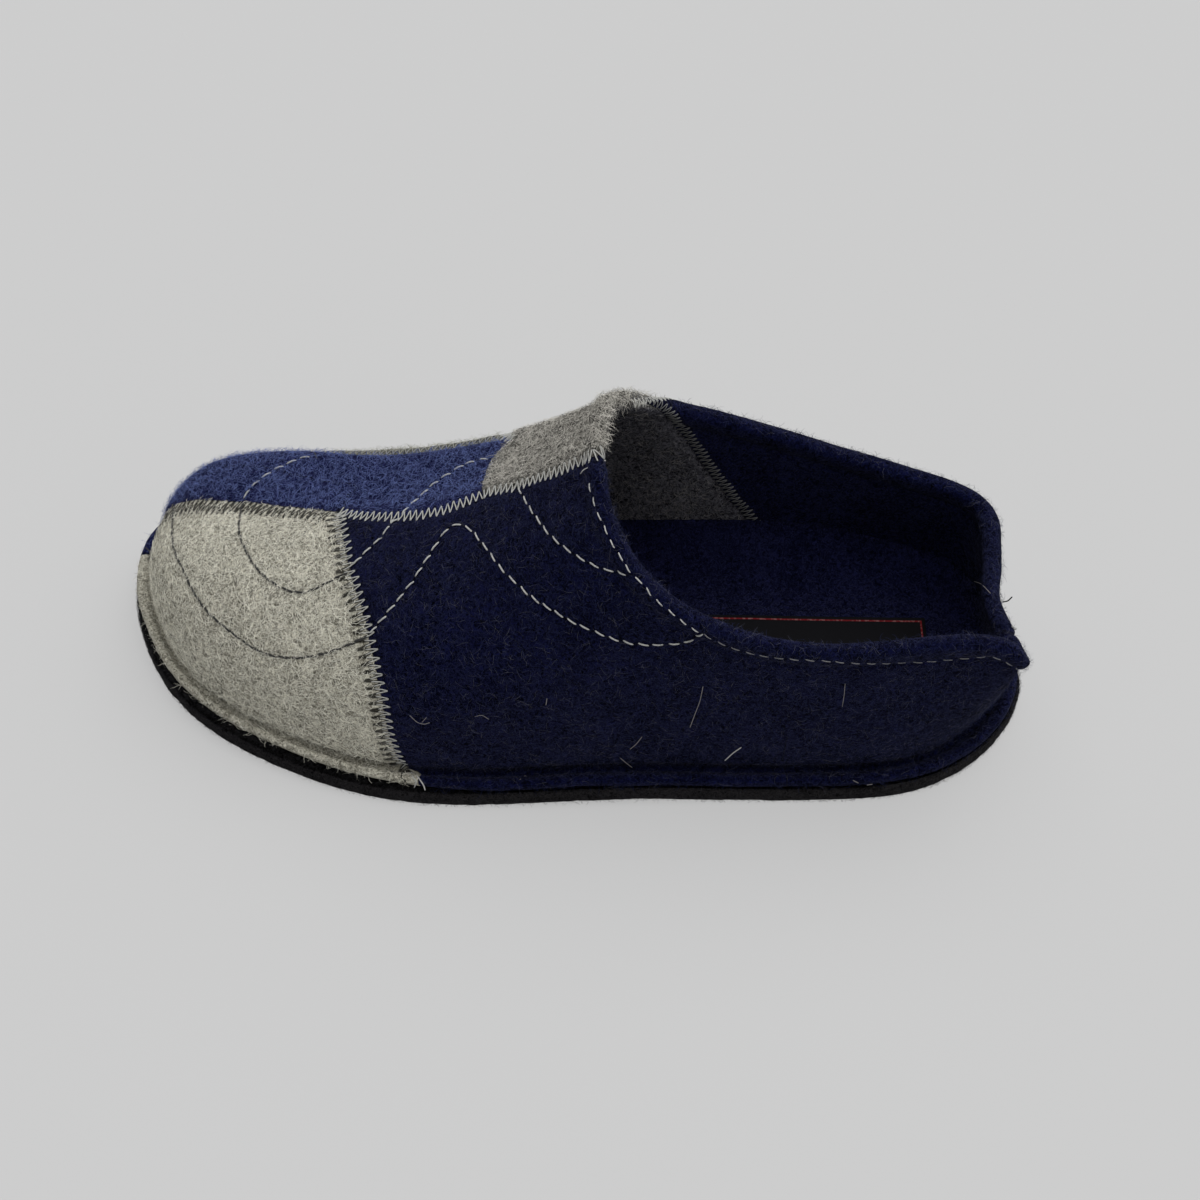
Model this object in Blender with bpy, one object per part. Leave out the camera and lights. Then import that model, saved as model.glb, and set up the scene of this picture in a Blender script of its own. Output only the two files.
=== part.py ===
"""Felt slipper for the left foot: black felt sole, thick felt upper with a stitched flange, footbed.

Lengths are metres, +X points to the toe, +Y to the outer side of the foot and +Z up. The origin is on the
floor, at the middle of the sole's length and width. Every section is worked out from the sizes below, with
short tables of shares: one row for each station round the foot, from the heel by the outer side to the toe
and back by the inner side.
"""

import math
from collections import namedtuple

import bmesh
import bpy
import numpy as np
from mathutils import Vector
from mathutils.bvhtree import BVHTree

# Driving sizes
SOLE_LENGTH = 0.288
BALL_WIDTH = 0.1165
HEEL_WIDTH = 0.082
SOLE_THICKNESS = 0.0055
TOE_SPRING = 0.0055
WAIST_LIFT = 0.0012
FELT = 0.0034
FLANGE_WIDTH = 0.0054
SOLE_MARGIN = 0.0013
GROOVE_DEPTH = 0.0010
HEEL_WALL = 0.060
THROAT_HEIGHT = 0.0985
HEM_HEIGHT = 0.0070
HEM_BULGE = 0.0010
FOOTBED = 0.0110
TOE_BED = 0.0060
CUP_DEPTH = 0.0115
LABEL_LENGTH = 0.070
LABEL_WIDTH = 0.024
LABEL_THICKNESS = 0.0006
GAP = 0.0003
BED_CLEARANCE = 0.0005
EDGE_ROUND = 0.0009

# Where the toe spring starts, and the stretch that the waist is lifted over, as shares of the length
SPRING_START = 0.66
WAIST_START = 0.27
WAIST_END = 0.60

# Where the footbed thins from its heel thickness to its toe thickness, as shares of the length, and how
# sharply it turns up to its edge
BED_THINS = (0.30, 0.70)
CUP_POWER = 3.0
BED_SIDE_LEVELS = (0.35, 0.7, 1.0)

# The hem: rows below its rounded top, as shares of its height, rows on the round, as shares of its half
# thickness, and the share of its height that its lower edge swells over
HEM_ROWS = (0.8, 0.5)
CROWN_ROWS = (0.75, 0.3, 0.05)
HEM_SWELL = 0.25

# The groove between flange and wall: places across the flange and depths, as shares
GROOVE_ROWS = ((0.40, 0.2), (0.08, 1.0))

# Where the label lies on the footbed: the middle of it, as shares of the length and of the heel width
LABEL_ALONG = 0.236
LABEL_ACROSS = 0.10

# How fine the meshes are: stations round the foot, rows up the wall, squares across a plate, and squares
# along and across the label
STATIONS = 96
WALL_STEPS = 12
LADDER_STEPS = 6
LABEL_STEPS = (14, 6)

# How finely a wall curve is measured along, and the step that its slope is read over
CURVE_POINTS = 201
SLOPE_STEP = 0.002

# Heights of the wall's rows between the groove and the hem, as shares of the way
WALL_FRACTIONS = (np.arange(WALL_STEPS) + 0.4) / (WALL_STEPS - 0.6)

# How the stations are spread between the named ones: below 1, close ones get more of the spline
CHORD_POWER = 0.7

# The sole's edge. along: share of the sole's length. across: share of half the width there. ball: how far
# that width has grown from the heel width to the ball width.
Edge = namedtuple("Edge", "name along across ball")
SOLE_EDGE = [
    Edge("heel back", 0.000, -0.04, 0.0),
    Edge("heel corner, outer", 0.041, 0.61, 0.0),
    Edge("heel, outer", 0.115, 1.00, 0.0),
    Edge("heel front, outer", 0.226, 1.07, 0.2),
    Edge("waist, outer", 0.365, 1.03, 0.5),
    Edge("behind the ball, outer", 0.520, 1.01, 0.85),
    Edge("ball, outer", 0.667, 1.00, 1.0),
    Edge("little toe", 0.800, 0.84, 1.0),
    Edge("third toe", 0.912, 0.53, 1.0),
    Edge("second toe", 0.978, 0.08, 1.0),
    Edge("toe tip", 0.998, -0.28, 1.0),
    Edge("big toe corner", 0.980, -0.73, 1.0),
    Edge("big toe side", 0.897, -0.92, 1.0),
    Edge("ball, inner", 0.757, -1.00, 1.0),
    Edge("behind the ball, inner", 0.608, -0.91, 0.9),
    Edge("waist, inner", 0.417, -0.84, 0.5),
    Edge("heel front, inner", 0.243, -0.97, 0.2),
    Edge("heel, inner", 0.115, -0.98, 0.0),
    Edge("heel corner, inner", 0.038, -0.65, 0.0),
]

# The collar's upper edge, at the same stations. along: share of the sole's length. across: share of half
# the heel width. climb: 0 at the height of the heel wall, 1 at the height of the throat.
Rim = namedtuple("Rim", "along across climb")
COLLAR = [
    Rim(0.051, 0.06, -0.14),
    Rim(0.040, 0.75, -0.084),
    Rim(0.075, 0.83, 0.093),
    Rim(0.218, 0.96, 0.050),
    Rim(0.336, 0.95, 0.195),
    Rim(0.391, 0.88, 0.415),
    Rim(0.428, 0.72, 0.642),
    Rim(0.453, 0.46, 0.86),
    Rim(0.462, 0.22, 0.99),
    Rim(0.466, 0.02, 1.05),
    Rim(0.467, -0.17, 1.063),
    Rim(0.466, -0.32, 1.048),
    Rim(0.460, -0.51, 0.971),
    Rim(0.436, -0.74, 0.803),
    Rim(0.402, -0.91, 0.603),
    Rim(0.340, -0.99, 0.42),
    Rim(0.230, -0.98, 0.17),
    Rim(0.118, -0.86, 0.01),
    Rim(0.058, -0.65, -0.08),
]

# The wall's way up from the groove to the collar, at the same stations, as the handles of a cubic curve.
# rise, lean: the lower handle's height and outward lean, as shares of the height between the ends.
# reach, drop: how far the upper handle lies from the collar, as shares of the plan way and of the height.
# bed: the height of the footbed's edge over its middle, as a share of the cup's depth.
Wall = namedtuple("Wall", "rise lean reach drop bed")
WALL = [
    Wall(0.33, 0.05, 0.00, 0.35, 0.85),
    Wall(0.33, 0.08, 0.00, 0.35, 1.00),
    Wall(0.33, 0.08, 0.00, 0.35, 1.00),
    Wall(0.33, 0.06, 0.00, 0.35, 0.90),
    Wall(0.36, 0.04, 0.15, 0.38, 0.75),
    Wall(0.42, 0.03, 0.27, 0.44, 0.45),
    Wall(0.45, 0.03, 0.38, 0.52, 0.20),
    Wall(0.50, 0.04, 0.48, 0.58, 0.12),
    Wall(0.62, 0.05, 0.51, 0.67, 0.10),
    Wall(0.69, 0.05, 0.46, 0.70, 0.10),
    Wall(0.64, 0.04, 0.38, 0.71, 0.10),
    Wall(0.71, 0.04, 0.34, 0.67, 0.10),
    Wall(0.49, 0.04, 0.51, 0.66, 0.12),
    Wall(0.40, 0.05, 0.34, 0.53, 0.25),
    Wall(0.39, 0.05, 0.30, 0.49, 0.80),
    Wall(0.37, 0.06, 0.20, 0.40, 1.50),
    Wall(0.33, 0.08, 0.00, 0.35, 1.45),
    Wall(0.33, 0.08, 0.00, 0.35, 1.10),
    Wall(0.33, 0.08, 0.00, 0.35, 0.95),
]

# Linear colours and roughness of the felts
COLOURS = {
    "outsole": ((0.006, 0.006, 0.007, 1.0), 0.95),
    "upper": ((0.008, 0.011, 0.032, 1.0), 0.92),
    "insole": ((0.007, 0.009, 0.028, 1.0), 0.92),
    "insole_label": ((0.015, 0.014, 0.016, 1.0), 0.70),
}


def clear_scene():
    for thing in list(bpy.data.objects):
        bpy.data.objects.remove(thing)


def felt_material(name):
    colour, roughness = COLOURS[name]
    material = bpy.data.materials.new(name)
    material.use_nodes = True
    shader = material.node_tree.nodes["Principled BSDF"]
    shader.inputs["Base Color"].default_value = colour
    shader.inputs["Roughness"].default_value = roughness
    shader.inputs["Metallic"].default_value = 0.0
    return material


def ring_knots(points):
    """Places from 0 to 1 for the points of a closed ring, spaced by the chords between them."""
    steps = np.linalg.norm(np.roll(points, -1, 0) - points, axis=1) ** CHORD_POWER
    knots = np.concatenate([[0.0], np.cumsum(steps)])
    return knots / knots[-1]


def ring_spline(values, knots, at):
    """A closed cubic spline through the rows of values, set at knots from 0 to 1, read at the places at."""
    count = len(values)
    steps = np.diff(knots)
    before = np.roll(steps, 1)
    after = np.roll(np.arange(count), -1)
    previous = np.roll(np.arange(count), 1)
    system = np.diag(2.0 * (before + steps))
    system[np.arange(count), after] += steps
    system[np.arange(count), previous] += before
    slopes = (values[after] - values) / steps[:, None]
    bend = np.linalg.solve(system, 6.0 * (slopes - slopes[previous]))
    low = np.clip(np.searchsorted(knots, at, side="right") - 1, 0, count - 1)
    high = (low + 1) % count
    step = steps[low][:, None]
    left = (knots[low + 1] - at)[:, None]
    right = (at - knots[low])[:, None]
    cubic = (bend[low] * left**3 + bend[high] * right**3) / (6.0 * step)
    from_low = (values[low] / step - bend[low] * step / 6.0) * left
    from_high = (values[high] / step - bend[high] * step / 6.0) * right
    return cubic + from_low + from_high


def plan_normals(ring):
    """Outward unit normals, in plan, of a closed ring that runs clockwise seen from above."""
    along = np.roll(ring, -1, 0) - np.roll(ring, 1, 0)
    out = np.column_stack([-along[:, 1], along[:, 0]])
    return out / np.linalg.norm(out, axis=1)[:, None]


def floor_height(x):
    """Height of the sole's underside over the floor, x from the heel's back end."""
    share = x / SOLE_LENGTH
    spring = np.clip((share - SPRING_START) / (1.0 - SPRING_START), 0.0, 1.0)
    waist = np.clip((share - WAIST_START) / (WAIST_END - WAIST_START), 0.0, 1.0)
    return TOE_SPRING * spring**2 + WAIST_LIFT * np.sin(math.pi * waist) ** 2


def sole_top(x):
    return floor_height(x) + SOLE_THICKNESS


class Rings:
    """The slipper's rings, at one set of stations: sole edge, feather line, collar and the wall's handles."""

    def __init__(self, at):
        half = 0.5 * (HEEL_WIDTH + np.array([e.ball for e in SOLE_EDGE]) * (BALL_WIDTH - HEEL_WIDTH))
        along = np.array([e.along for e in SOLE_EDGE]) * SOLE_LENGTH
        across = np.array([e.across for e in SOLE_EDGE]) * half
        edge_points = np.column_stack([along, across])
        knots = ring_knots(edge_points)
        self.edge = ring_spline(edge_points, knots, at)
        self.out = plan_normals(self.edge)
        self.feather = self.edge - self.out * (SOLE_MARGIN + FLANGE_WIDTH)
        heights = [HEEL_WALL + r.climb * (THROAT_HEIGHT - HEEL_WALL) for r in COLLAR]
        collar = [
            (r.along * SOLE_LENGTH, r.across * HEEL_WIDTH / 2.0, z) for r, z in zip(COLLAR, heights)
        ]
        self.collar = ring_spline(np.array(collar), knots, at)
        shares = ring_spline(np.array(WALL), knots, at)
        self.rise, self.lean, self.reach, self.drop, self.bed = shares.T
        self.under = sole_top(self.feather[:, 0]) + GAP

    def wall_curve(self, share):
        """Points of the wall's outer face at shares from 0, the groove, to 1, the top: stations x shares."""
        low = np.column_stack([self.feather, self.under + FELT - GROOVE_DEPTH])
        high = self.collar
        height = (high[:, 2] - low[:, 2])[:, None]
        plan_way = (low - high) * (1.0, 1.0, 0.0)
        outward = np.column_stack([self.out, np.zeros(len(self.out))])
        up = np.array([0.0, 0.0, 1.0])
        first = low + height * (self.rise[:, None] * up + self.lean[:, None] * outward)
        second = high + self.reach[:, None] * plan_way - self.drop[:, None] * height * up
        t = share[..., None]
        low, first, second, high = (p[:, None, :] for p in (low, first, second, high))
        return (
            (1 - t) ** 3 * low
            + 3 * (1 - t) ** 2 * t * first
            + 3 * (1 - t) * t**2 * second
            + t**3 * high
        )


def wall_points(rings, fractions, tops):
    """The wall's outer face where wanted, with its normals and the way left to the top edge.

    fractions are shares of the way from the groove to the hem's base. tops are ways down from the top edge,
    in metres, for the hem. The result is stations x (fractions + tops) x 3.
    """
    fine = np.linspace(0.0, 1.0, CURVE_POINTS)
    stations = len(rings.out)
    dense = rings.wall_curve(np.broadcast_to(fine, (stations, len(fine))))
    ways = np.linalg.norm(np.diff(dense, axis=1), axis=2)
    ways = np.concatenate([np.zeros((stations, 1)), np.cumsum(ways, axis=1)], axis=1)
    total = ways[:, -1]
    wanted = np.concatenate(
        [np.outer(total - HEM_HEIGHT, fractions), total[:, None] - np.asarray(tops)[None, :]], axis=1
    )
    share = np.array([np.interp(w, way, fine) for w, way in zip(wanted, ways)])
    points = rings.wall_curve(share)
    below = rings.wall_curve(np.clip(share - SLOPE_STEP, 0.0, 1.0))
    above = rings.wall_curve(np.clip(share + SLOPE_STEP, 0.0, 1.0))
    round_way = np.roll(points, -1, 0) - np.roll(points, 1, 0)
    normals = np.cross(above - below, round_way)
    normals /= np.linalg.norm(normals, axis=2)[..., None]
    return points, normals, total[:, None] - wanted


def hem_bulge(left):
    """How far the folded hem stands out of the felt on each side, by the way left to the top edge."""
    return HEM_BULGE * np.clip((HEM_HEIGHT - left) / (HEM_SWELL * HEM_HEIGHT), 0.0, 1.0)


def rounded(left):
    """Share of the half thickness that is left near the rounded top edge."""
    radius = FELT / 2.0 + HEM_BULGE
    depth = np.clip(1.0 - left / radius, 0.0, 1.0)
    return np.sqrt(1.0 - depth**2)


def ring_faces(rows, columns, close_columns):
    """Quads between neighbouring rows of points, the last row joined to the first."""
    faces = []
    last = columns if close_columns else columns - 1
    for i in range(rows):
        j = (i + 1) % rows
        for k in range(last):
            n = (k + 1) % columns
            faces.append((i * columns + k, j * columns + k, j * columns + n, i * columns + n))
    return faces


def middle_of_sole():
    """Middle of the sole's box in plan, measured from the heel's back end and the foot's middle line."""
    edge = Rings(np.arange(STATIONS) / STATIONS).edge
    return (edge.min(axis=0) + edge.max(axis=0)) / 2.0


def add_solid(name, points, faces, collection, smooth_angle):
    """Makes a named object from points, measured from the heel, and faces, with its normals outward."""
    mesh = bpy.data.meshes.new(name)
    centre = np.append(middle_of_sole(), 0.0)
    mesh.from_pydata((np.asarray(points) - centre).tolist(), [], faces)
    shape = bmesh.new()
    shape.from_mesh(mesh)
    bmesh.ops.recalc_face_normals(shape, faces=shape.faces)
    if shape.calc_volume(signed=True) < 0.0:
        bmesh.ops.reverse_faces(shape, faces=shape.faces)
    shape.to_mesh(mesh)
    shape.free()
    mesh.shade_smooth()
    mesh.set_sharp_from_angle(angle=math.radians(smooth_angle))
    solid = bpy.data.objects.new(name, mesh)
    mesh.materials.append(felt_material(name))
    collection.objects.link(solid)


def upper(collection):
    """Flange, groove, wall and rolled hem: one closed section carried round all the stations."""
    rings = Rings(np.arange(STATIONS) / STATIONS)
    radius = FELT / 2.0 + HEM_BULGE
    tops = [HEM_HEIGHT * share for share in HEM_ROWS] + [radius * share for share in CROWN_ROWS]
    face, normals, left = wall_points(rings, WALL_FRACTIONS, tops)
    half = (FELT / 2.0 + hem_bulge(left)) * rounded(left)
    middle = face - normals * FELT / 2.0
    outer = middle + normals * half[..., None]
    inner = middle - normals * half[..., None]
    crown = rings.collar - normals[:, -1] * FELT / 2.0

    def flange(out, height):
        plan = rings.feather + rings.out * out
        return np.column_stack([plan, sole_top(plan[:, 0]) + GAP + height])[:, None, :]

    sections = [
        flange(FLANGE_WIDTH - EDGE_ROUND, 0.0),
        flange(FLANGE_WIDTH, EDGE_ROUND),
        flange(FLANGE_WIDTH, FELT - EDGE_ROUND),
        flange(FLANGE_WIDTH - EDGE_ROUND, FELT),
        *[flange(out * FLANGE_WIDTH, FELT - deep * GROOVE_DEPTH) for out, deep in GROOVE_ROWS],
        outer,
        crown[:, None, :],
        inner[:, ::-1],
        flange(-FELT, 0.0),
    ]
    points = np.concatenate(sections, axis=1)
    faces = ring_faces(STATIONS, points.shape[1], True)
    add_solid("upper", points.reshape(-1, 3), faces, collection, 60)


def ladder(ring, height_at):
    """Points across a ring, on rungs between its two sides, and the faces that cover it.

    The ring's point 0 and the one opposite stand alone, at the ends. height_at takes the rungs' plan
    points and how far each lies from the middle, -1 to 1, and gives heights.
    """
    count = len(ring)
    rungs = count // 2
    shares = np.linspace(0.0, 1.0, LADDER_STEPS + 1)
    rows = [ring[i] + shares[:, None] * (ring[count - i] - ring[i]) for i in range(1, rungs)]
    plan = np.array(rows)
    inner = plan[:, 1:-1]
    off_middle = np.broadcast_to(1.0 - 2.0 * shares[1:-1], inner.shape[:2])
    heights = height_at(inner, off_middle)
    points = np.concatenate([inner, heights[..., None]], axis=2).reshape(-1, 3)
    width = LADDER_STEPS - 1

    def index(i, k):
        """Number of a ladder point: ring points count from 0, the inner ones follow them."""
        if i == 0 or i == rungs:
            return i
        if k == 0:
            return i
        if k == LADDER_STEPS:
            return count - i
        return count + (i - 1) * width + k - 1

    faces = []
    for i in range(rungs):
        for k in range(LADDER_STEPS):
            corners = [index(i, k), index(i, k + 1), index(i + 1, k + 1), index(i + 1, k)]
            faces.append(tuple(dict.fromkeys(corners)))
    return points, [f for f in faces if len(f) > 2]


def plate(levels, bottom_height, top_height):
    """A closed solid: ring levels from bottom to top, covered by a ladder at each end."""
    count = len(levels[0])
    bottom_points, bottom_faces = ladder(levels[0][:, :2], bottom_height)
    top_points, top_faces = ladder(levels[-1][:, :2], top_height)
    points = list(levels)
    faces = []
    for lower in range(0, (len(levels) - 1) * count, count):
        higher = lower + count
        for i in range(count):
            j = (i + 1) % count
            faces.append((lower + i, lower + j, higher + j, higher + i))
    first = len(levels) * count
    points.append(bottom_points)

    def shifted(face, ring_start, inner_start):
        return tuple(ring_start + n if n < count else inner_start + n - count for n in face)

    faces += [shifted(f, 0, first)[::-1] for f in bottom_faces]
    points.append(top_points)
    top_start = first + len(bottom_points)
    faces += [shifted(f, (len(levels) - 1) * count, top_start) for f in top_faces]
    return np.concatenate(points), faces


def outsole(collection):
    """Black felt sole: the outline with its toe spring and lifted waist, cut square with softened edges."""
    rings = Rings(np.arange(STATIONS) / STATIONS)

    def level(inset, height):
        plan = rings.edge - rings.out * inset
        return np.column_stack([plan, floor_height(plan[:, 0]) + height])

    levels = [
        level(EDGE_ROUND, 0.0),
        level(0.0, EDGE_ROUND),
        level(0.0, SOLE_THICKNESS - EDGE_ROUND),
        level(EDGE_ROUND, SOLE_THICKNESS),
    ]
    points, faces = plate(
        levels,
        lambda plan, off: floor_height(plan[..., 0]),
        lambda plan, off: sole_top(plan[..., 0]),
    )
    add_solid("outsole", points, faces, collection, 40)


def bed_middle(x):
    """Height of the footbed along its middle, over the floor: thicker under the heel than under the toes."""
    thickness = np.interp(x / SOLE_LENGTH, BED_THINS, (FOOTBED, TOE_BED))
    return sole_top(x) + GAP + thickness


def bed_rise(off):
    """Share of the edge's height that the footbed has reached, off the middle by -1 to 1."""
    return np.abs(off) ** CUP_POWER


def insole(collection):
    """Footbed that fills the bottom of the upper: cupped round the heel and raised under the arch."""
    rings = Rings(np.arange(STATIONS) / STATIONS)
    face, normals, left = wall_points(rings, WALL_FRACTIONS, [])
    inset = FELT + BED_CLEARANCE
    foot_plan = rings.feather - rings.out * inset
    foot = np.column_stack([foot_plan, sole_top(foot_plan[:, 0]) + GAP])
    inner = np.concatenate([foot[:, None, :], face - normals * inset], axis=1)
    edge_height = bed_middle(rings.feather[:, 0]) + rings.bed * CUP_DEPTH
    levels = [foot]
    for share in BED_SIDE_LEVELS:
        wanted = foot[:, 2] + share * (edge_height - foot[:, 2])
        rows = []
        for points, height in zip(inner, wanted):
            rows.append([np.interp(height, points[:, 2], points[:, axis]) for axis in range(3)])
        levels.append(np.array(rows))
    count = STATIONS

    def top(plan, off):
        rungs = np.arange(1, count // 2)
        outer_edge = edge_height[rungs][:, None]
        inner_edge = edge_height[count - rungs][:, None]
        middle = bed_middle(plan[..., 0])
        edge = np.where(off > 0.0, outer_edge, inner_edge)
        return middle + (edge - middle) * bed_rise(off)

    points, faces = plate(
        levels,
        lambda plan, off: sole_top(plan[..., 0]) + GAP,
        top,
    )
    add_solid("insole", points, faces, collection, 60)
    return points, faces


def insole_label(collection, bed_points, bed_faces):
    """Woven label lying on the footbed at the heel: a strip that follows the bed, just clear of it."""
    bed = BVHTree.FromPolygons([Vector(p) for p in bed_points.tolist()], bed_faces)
    down = Vector((0.0, 0.0, -1.0))
    middle = (LABEL_ALONG * SOLE_LENGTH, LABEL_ACROSS * HEEL_WIDTH / 2.0)
    along = middle[0] + LABEL_LENGTH * np.linspace(-0.5, 0.5, LABEL_STEPS[0] + 1)
    across = middle[1] + LABEL_WIDTH * np.linspace(-0.5, 0.5, LABEL_STEPS[1] + 1)
    lower = []
    for x in along:
        for y in across:
            hit = bed.ray_cast(Vector((x, y, HEEL_WALL)), down)[0]
            lower.append((x, y, hit.z + GAP))
    lower = np.array(lower)
    upper_side = lower + (0.0, 0.0, LABEL_THICKNESS)
    columns = LABEL_STEPS[1] + 1
    count = len(lower)
    faces = []
    for i in range(LABEL_STEPS[0]):
        for k in range(LABEL_STEPS[1]):
            a = i * columns + k
            corners = (a, a + 1, a + columns + 1, a + columns)
            faces.append(corners)
            faces.append(tuple(count + n for n in reversed(corners)))
    rim = list(range(columns))
    rim += [i * columns + LABEL_STEPS[1] for i in range(1, LABEL_STEPS[0] + 1)]
    rim += [LABEL_STEPS[0] * columns + k for k in range(LABEL_STEPS[1] - 1, -1, -1)]
    rim += [i * columns for i in range(LABEL_STEPS[0] - 1, 0, -1)]
    for a, b in zip(rim, rim[1:] + rim[:1]):
        faces.append((b, a, count + a, count + b))
    add_solid("insole_label", np.concatenate([lower, upper_side]), faces, collection, 40)


def build():
    clear_scene()
    collection = bpy.data.collections.new("felt_slipper")
    bpy.context.scene.collection.children.link(collection)
    outsole(collection)
    upper(collection)
    bed_points, bed_faces = insole(collection)
    insole_label(collection, bed_points, bed_faces)


build()
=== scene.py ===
"""Looks of the felt slipper: fine felt shell, panels, seams, stitches, fuzz, floor, light and camera.

Lengths are metres in the frame of the CAD model: +X to the toe, +Y to the outer side, +Z up. The shell is
worked out from the same sizes and tables as the CAD model, only finer. Places named in pixels are those of
the photograph, 1200 by 1200, and are cast from the camera onto the shell that carries them.
"""

import math
from collections import namedtuple

import bpy
import numpy as np
from mathutils import Matrix, Vector, noise
from mathutils.bvhtree import BVHTree
from mathutils.kdtree import KDTree


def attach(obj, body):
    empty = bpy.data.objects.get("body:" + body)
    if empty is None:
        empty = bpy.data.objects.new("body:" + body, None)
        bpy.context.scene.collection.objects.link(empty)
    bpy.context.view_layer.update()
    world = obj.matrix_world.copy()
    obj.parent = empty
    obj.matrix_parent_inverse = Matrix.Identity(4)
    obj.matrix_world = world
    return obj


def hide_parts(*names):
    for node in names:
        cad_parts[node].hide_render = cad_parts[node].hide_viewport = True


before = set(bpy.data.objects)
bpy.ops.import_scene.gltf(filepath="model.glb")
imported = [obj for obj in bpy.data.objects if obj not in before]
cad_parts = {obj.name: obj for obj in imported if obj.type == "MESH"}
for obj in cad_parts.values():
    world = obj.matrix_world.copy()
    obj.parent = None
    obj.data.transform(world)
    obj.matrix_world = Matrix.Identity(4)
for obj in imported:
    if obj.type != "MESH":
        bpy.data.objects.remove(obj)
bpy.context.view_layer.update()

MM = 0.001
rng = np.random.default_rng(12)

# ---- sizes of the CAD model ----
SOLE_LENGTH = 0.288
BALL_WIDTH = 0.1165
HEEL_WIDTH = 0.082
SOLE_THICKNESS = 0.0055
TOE_SPRING = 0.0055
WAIST_LIFT = 0.0012
FELT = 0.0034
FLANGE_WIDTH = 0.0054
SOLE_MARGIN = 0.0013
GROOVE_DEPTH = 0.0010
HEEL_WALL = 0.060
THROAT_HEIGHT = 0.0985
HEM_HEIGHT = 0.0070
FOOTBED = 0.0110
TOE_BED = 0.0060
CUP_DEPTH = 0.0115
LABEL_LENGTH = 0.070
LABEL_WIDTH = 0.024
GAP = 0.0003
BED_CLEARANCE = 0.0005
SPRING_START = 0.66
WAIST_START = 0.27
WAIST_END = 0.60
BED_THINS = (0.30, 0.70)
CUP_POWER = 3.0
LABEL_ALONG = 0.228
LABEL_ACROSS = 0.03
LABEL_TURN = math.radians(3.5)
CHORD_POWER = 0.7

Edge = namedtuple("Edge", "along across ball")
SOLE_EDGE = [
    Edge(0.000, -0.04, 0.0),
    Edge(0.041, 0.61, 0.0),
    Edge(0.115, 1.00, 0.0),
    Edge(0.226, 1.07, 0.2),
    Edge(0.365, 1.03, 0.5),
    Edge(0.520, 1.01, 0.85),
    Edge(0.667, 1.00, 1.0),
    Edge(0.800, 0.84, 1.0),
    Edge(0.912, 0.53, 1.0),
    Edge(0.978, 0.08, 1.0),
    Edge(0.998, -0.28, 1.0),
    Edge(0.980, -0.73, 1.0),
    Edge(0.897, -0.92, 1.0),
    Edge(0.757, -1.00, 1.0),
    Edge(0.608, -0.91, 0.9),
    Edge(0.417, -0.84, 0.5),
    Edge(0.243, -0.97, 0.2),
    Edge(0.115, -0.98, 0.0),
    Edge(0.038, -0.65, 0.0),
]

Rim = namedtuple("Rim", "along across climb")
COLLAR = [
    Rim(0.051, 0.06, -0.14),
    Rim(0.040, 0.75, -0.084),
    Rim(0.075, 0.83, 0.093),
    Rim(0.218, 0.96, 0.050),
    Rim(0.336, 0.95, 0.195),
    Rim(0.391, 0.88, 0.415),
    Rim(0.428, 0.72, 0.642),
    Rim(0.453, 0.46, 0.86),
    Rim(0.462, 0.22, 0.99),
    Rim(0.466, 0.02, 1.05),
    Rim(0.467, -0.17, 1.063),
    Rim(0.466, -0.32, 1.048),
    Rim(0.460, -0.51, 0.971),
    Rim(0.436, -0.74, 0.803),
    Rim(0.402, -0.91, 0.603),
    Rim(0.340, -0.99, 0.42),
    Rim(0.230, -0.98, 0.17),
    Rim(0.118, -0.86, 0.01),
    Rim(0.058, -0.65, -0.08),
]

Wall = namedtuple("Wall", "rise lean reach drop bed")
WALL = [
    Wall(0.33, 0.05, 0.00, 0.35, 0.85),
    Wall(0.33, 0.08, 0.00, 0.35, 1.00),
    Wall(0.33, 0.08, 0.00, 0.35, 1.00),
    Wall(0.33, 0.06, 0.00, 0.35, 0.90),
    Wall(0.36, 0.04, 0.15, 0.38, 0.75),
    Wall(0.42, 0.03, 0.27, 0.44, 0.45),
    Wall(0.45, 0.03, 0.38, 0.52, 0.20),
    Wall(0.50, 0.04, 0.48, 0.58, 0.12),
    Wall(0.62, 0.05, 0.51, 0.67, 0.10),
    Wall(0.69, 0.05, 0.46, 0.70, 0.10),
    Wall(0.64, 0.04, 0.38, 0.71, 0.10),
    Wall(0.71, 0.04, 0.34, 0.67, 0.10),
    Wall(0.49, 0.04, 0.51, 0.66, 0.12),
    Wall(0.40, 0.05, 0.34, 0.53, 0.25),
    Wall(0.39, 0.05, 0.30, 0.49, 0.80),
    Wall(0.37, 0.06, 0.20, 0.40, 1.50),
    Wall(0.33, 0.08, 0.00, 0.35, 1.45),
    Wall(0.33, 0.08, 0.00, 0.35, 1.10),
    Wall(0.33, 0.08, 0.00, 0.35, 0.95),
]

# ---- how fine the shell is ----
STATIONS = 480
WALL_ROWS = 92
INNER_ROWS = 36
HEM_BASE = 0.90

# ---- camera, measured from the heel's back end on the floor ----
CAMERA_TARGET = (0.1338, 0.0, 0.0318)
CAMERA_DISTANCE = 0.520
CAMERA_AZIMUTH = math.radians(-4.46)
CAMERA_ELEVATION = math.radians(49.0)
CAMERA_ROLL = math.radians(0.32)
FOCAL_PIXELS = 1680.5
PHOTO = 1200.0
SENSOR = 36.0
# Distances tried along a ray that goes by the slipper
RAY_TRIES = np.arange(0.40, 0.64, 0.002)


def ring_knots(points):
    """Places from 0 to 1 for the points of a closed ring, spaced by the chords between them."""
    steps = np.linalg.norm(np.roll(points, -1, 0) - points, axis=1) ** CHORD_POWER
    knots = np.concatenate([[0.0], np.cumsum(steps)])
    return knots / knots[-1]


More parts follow.
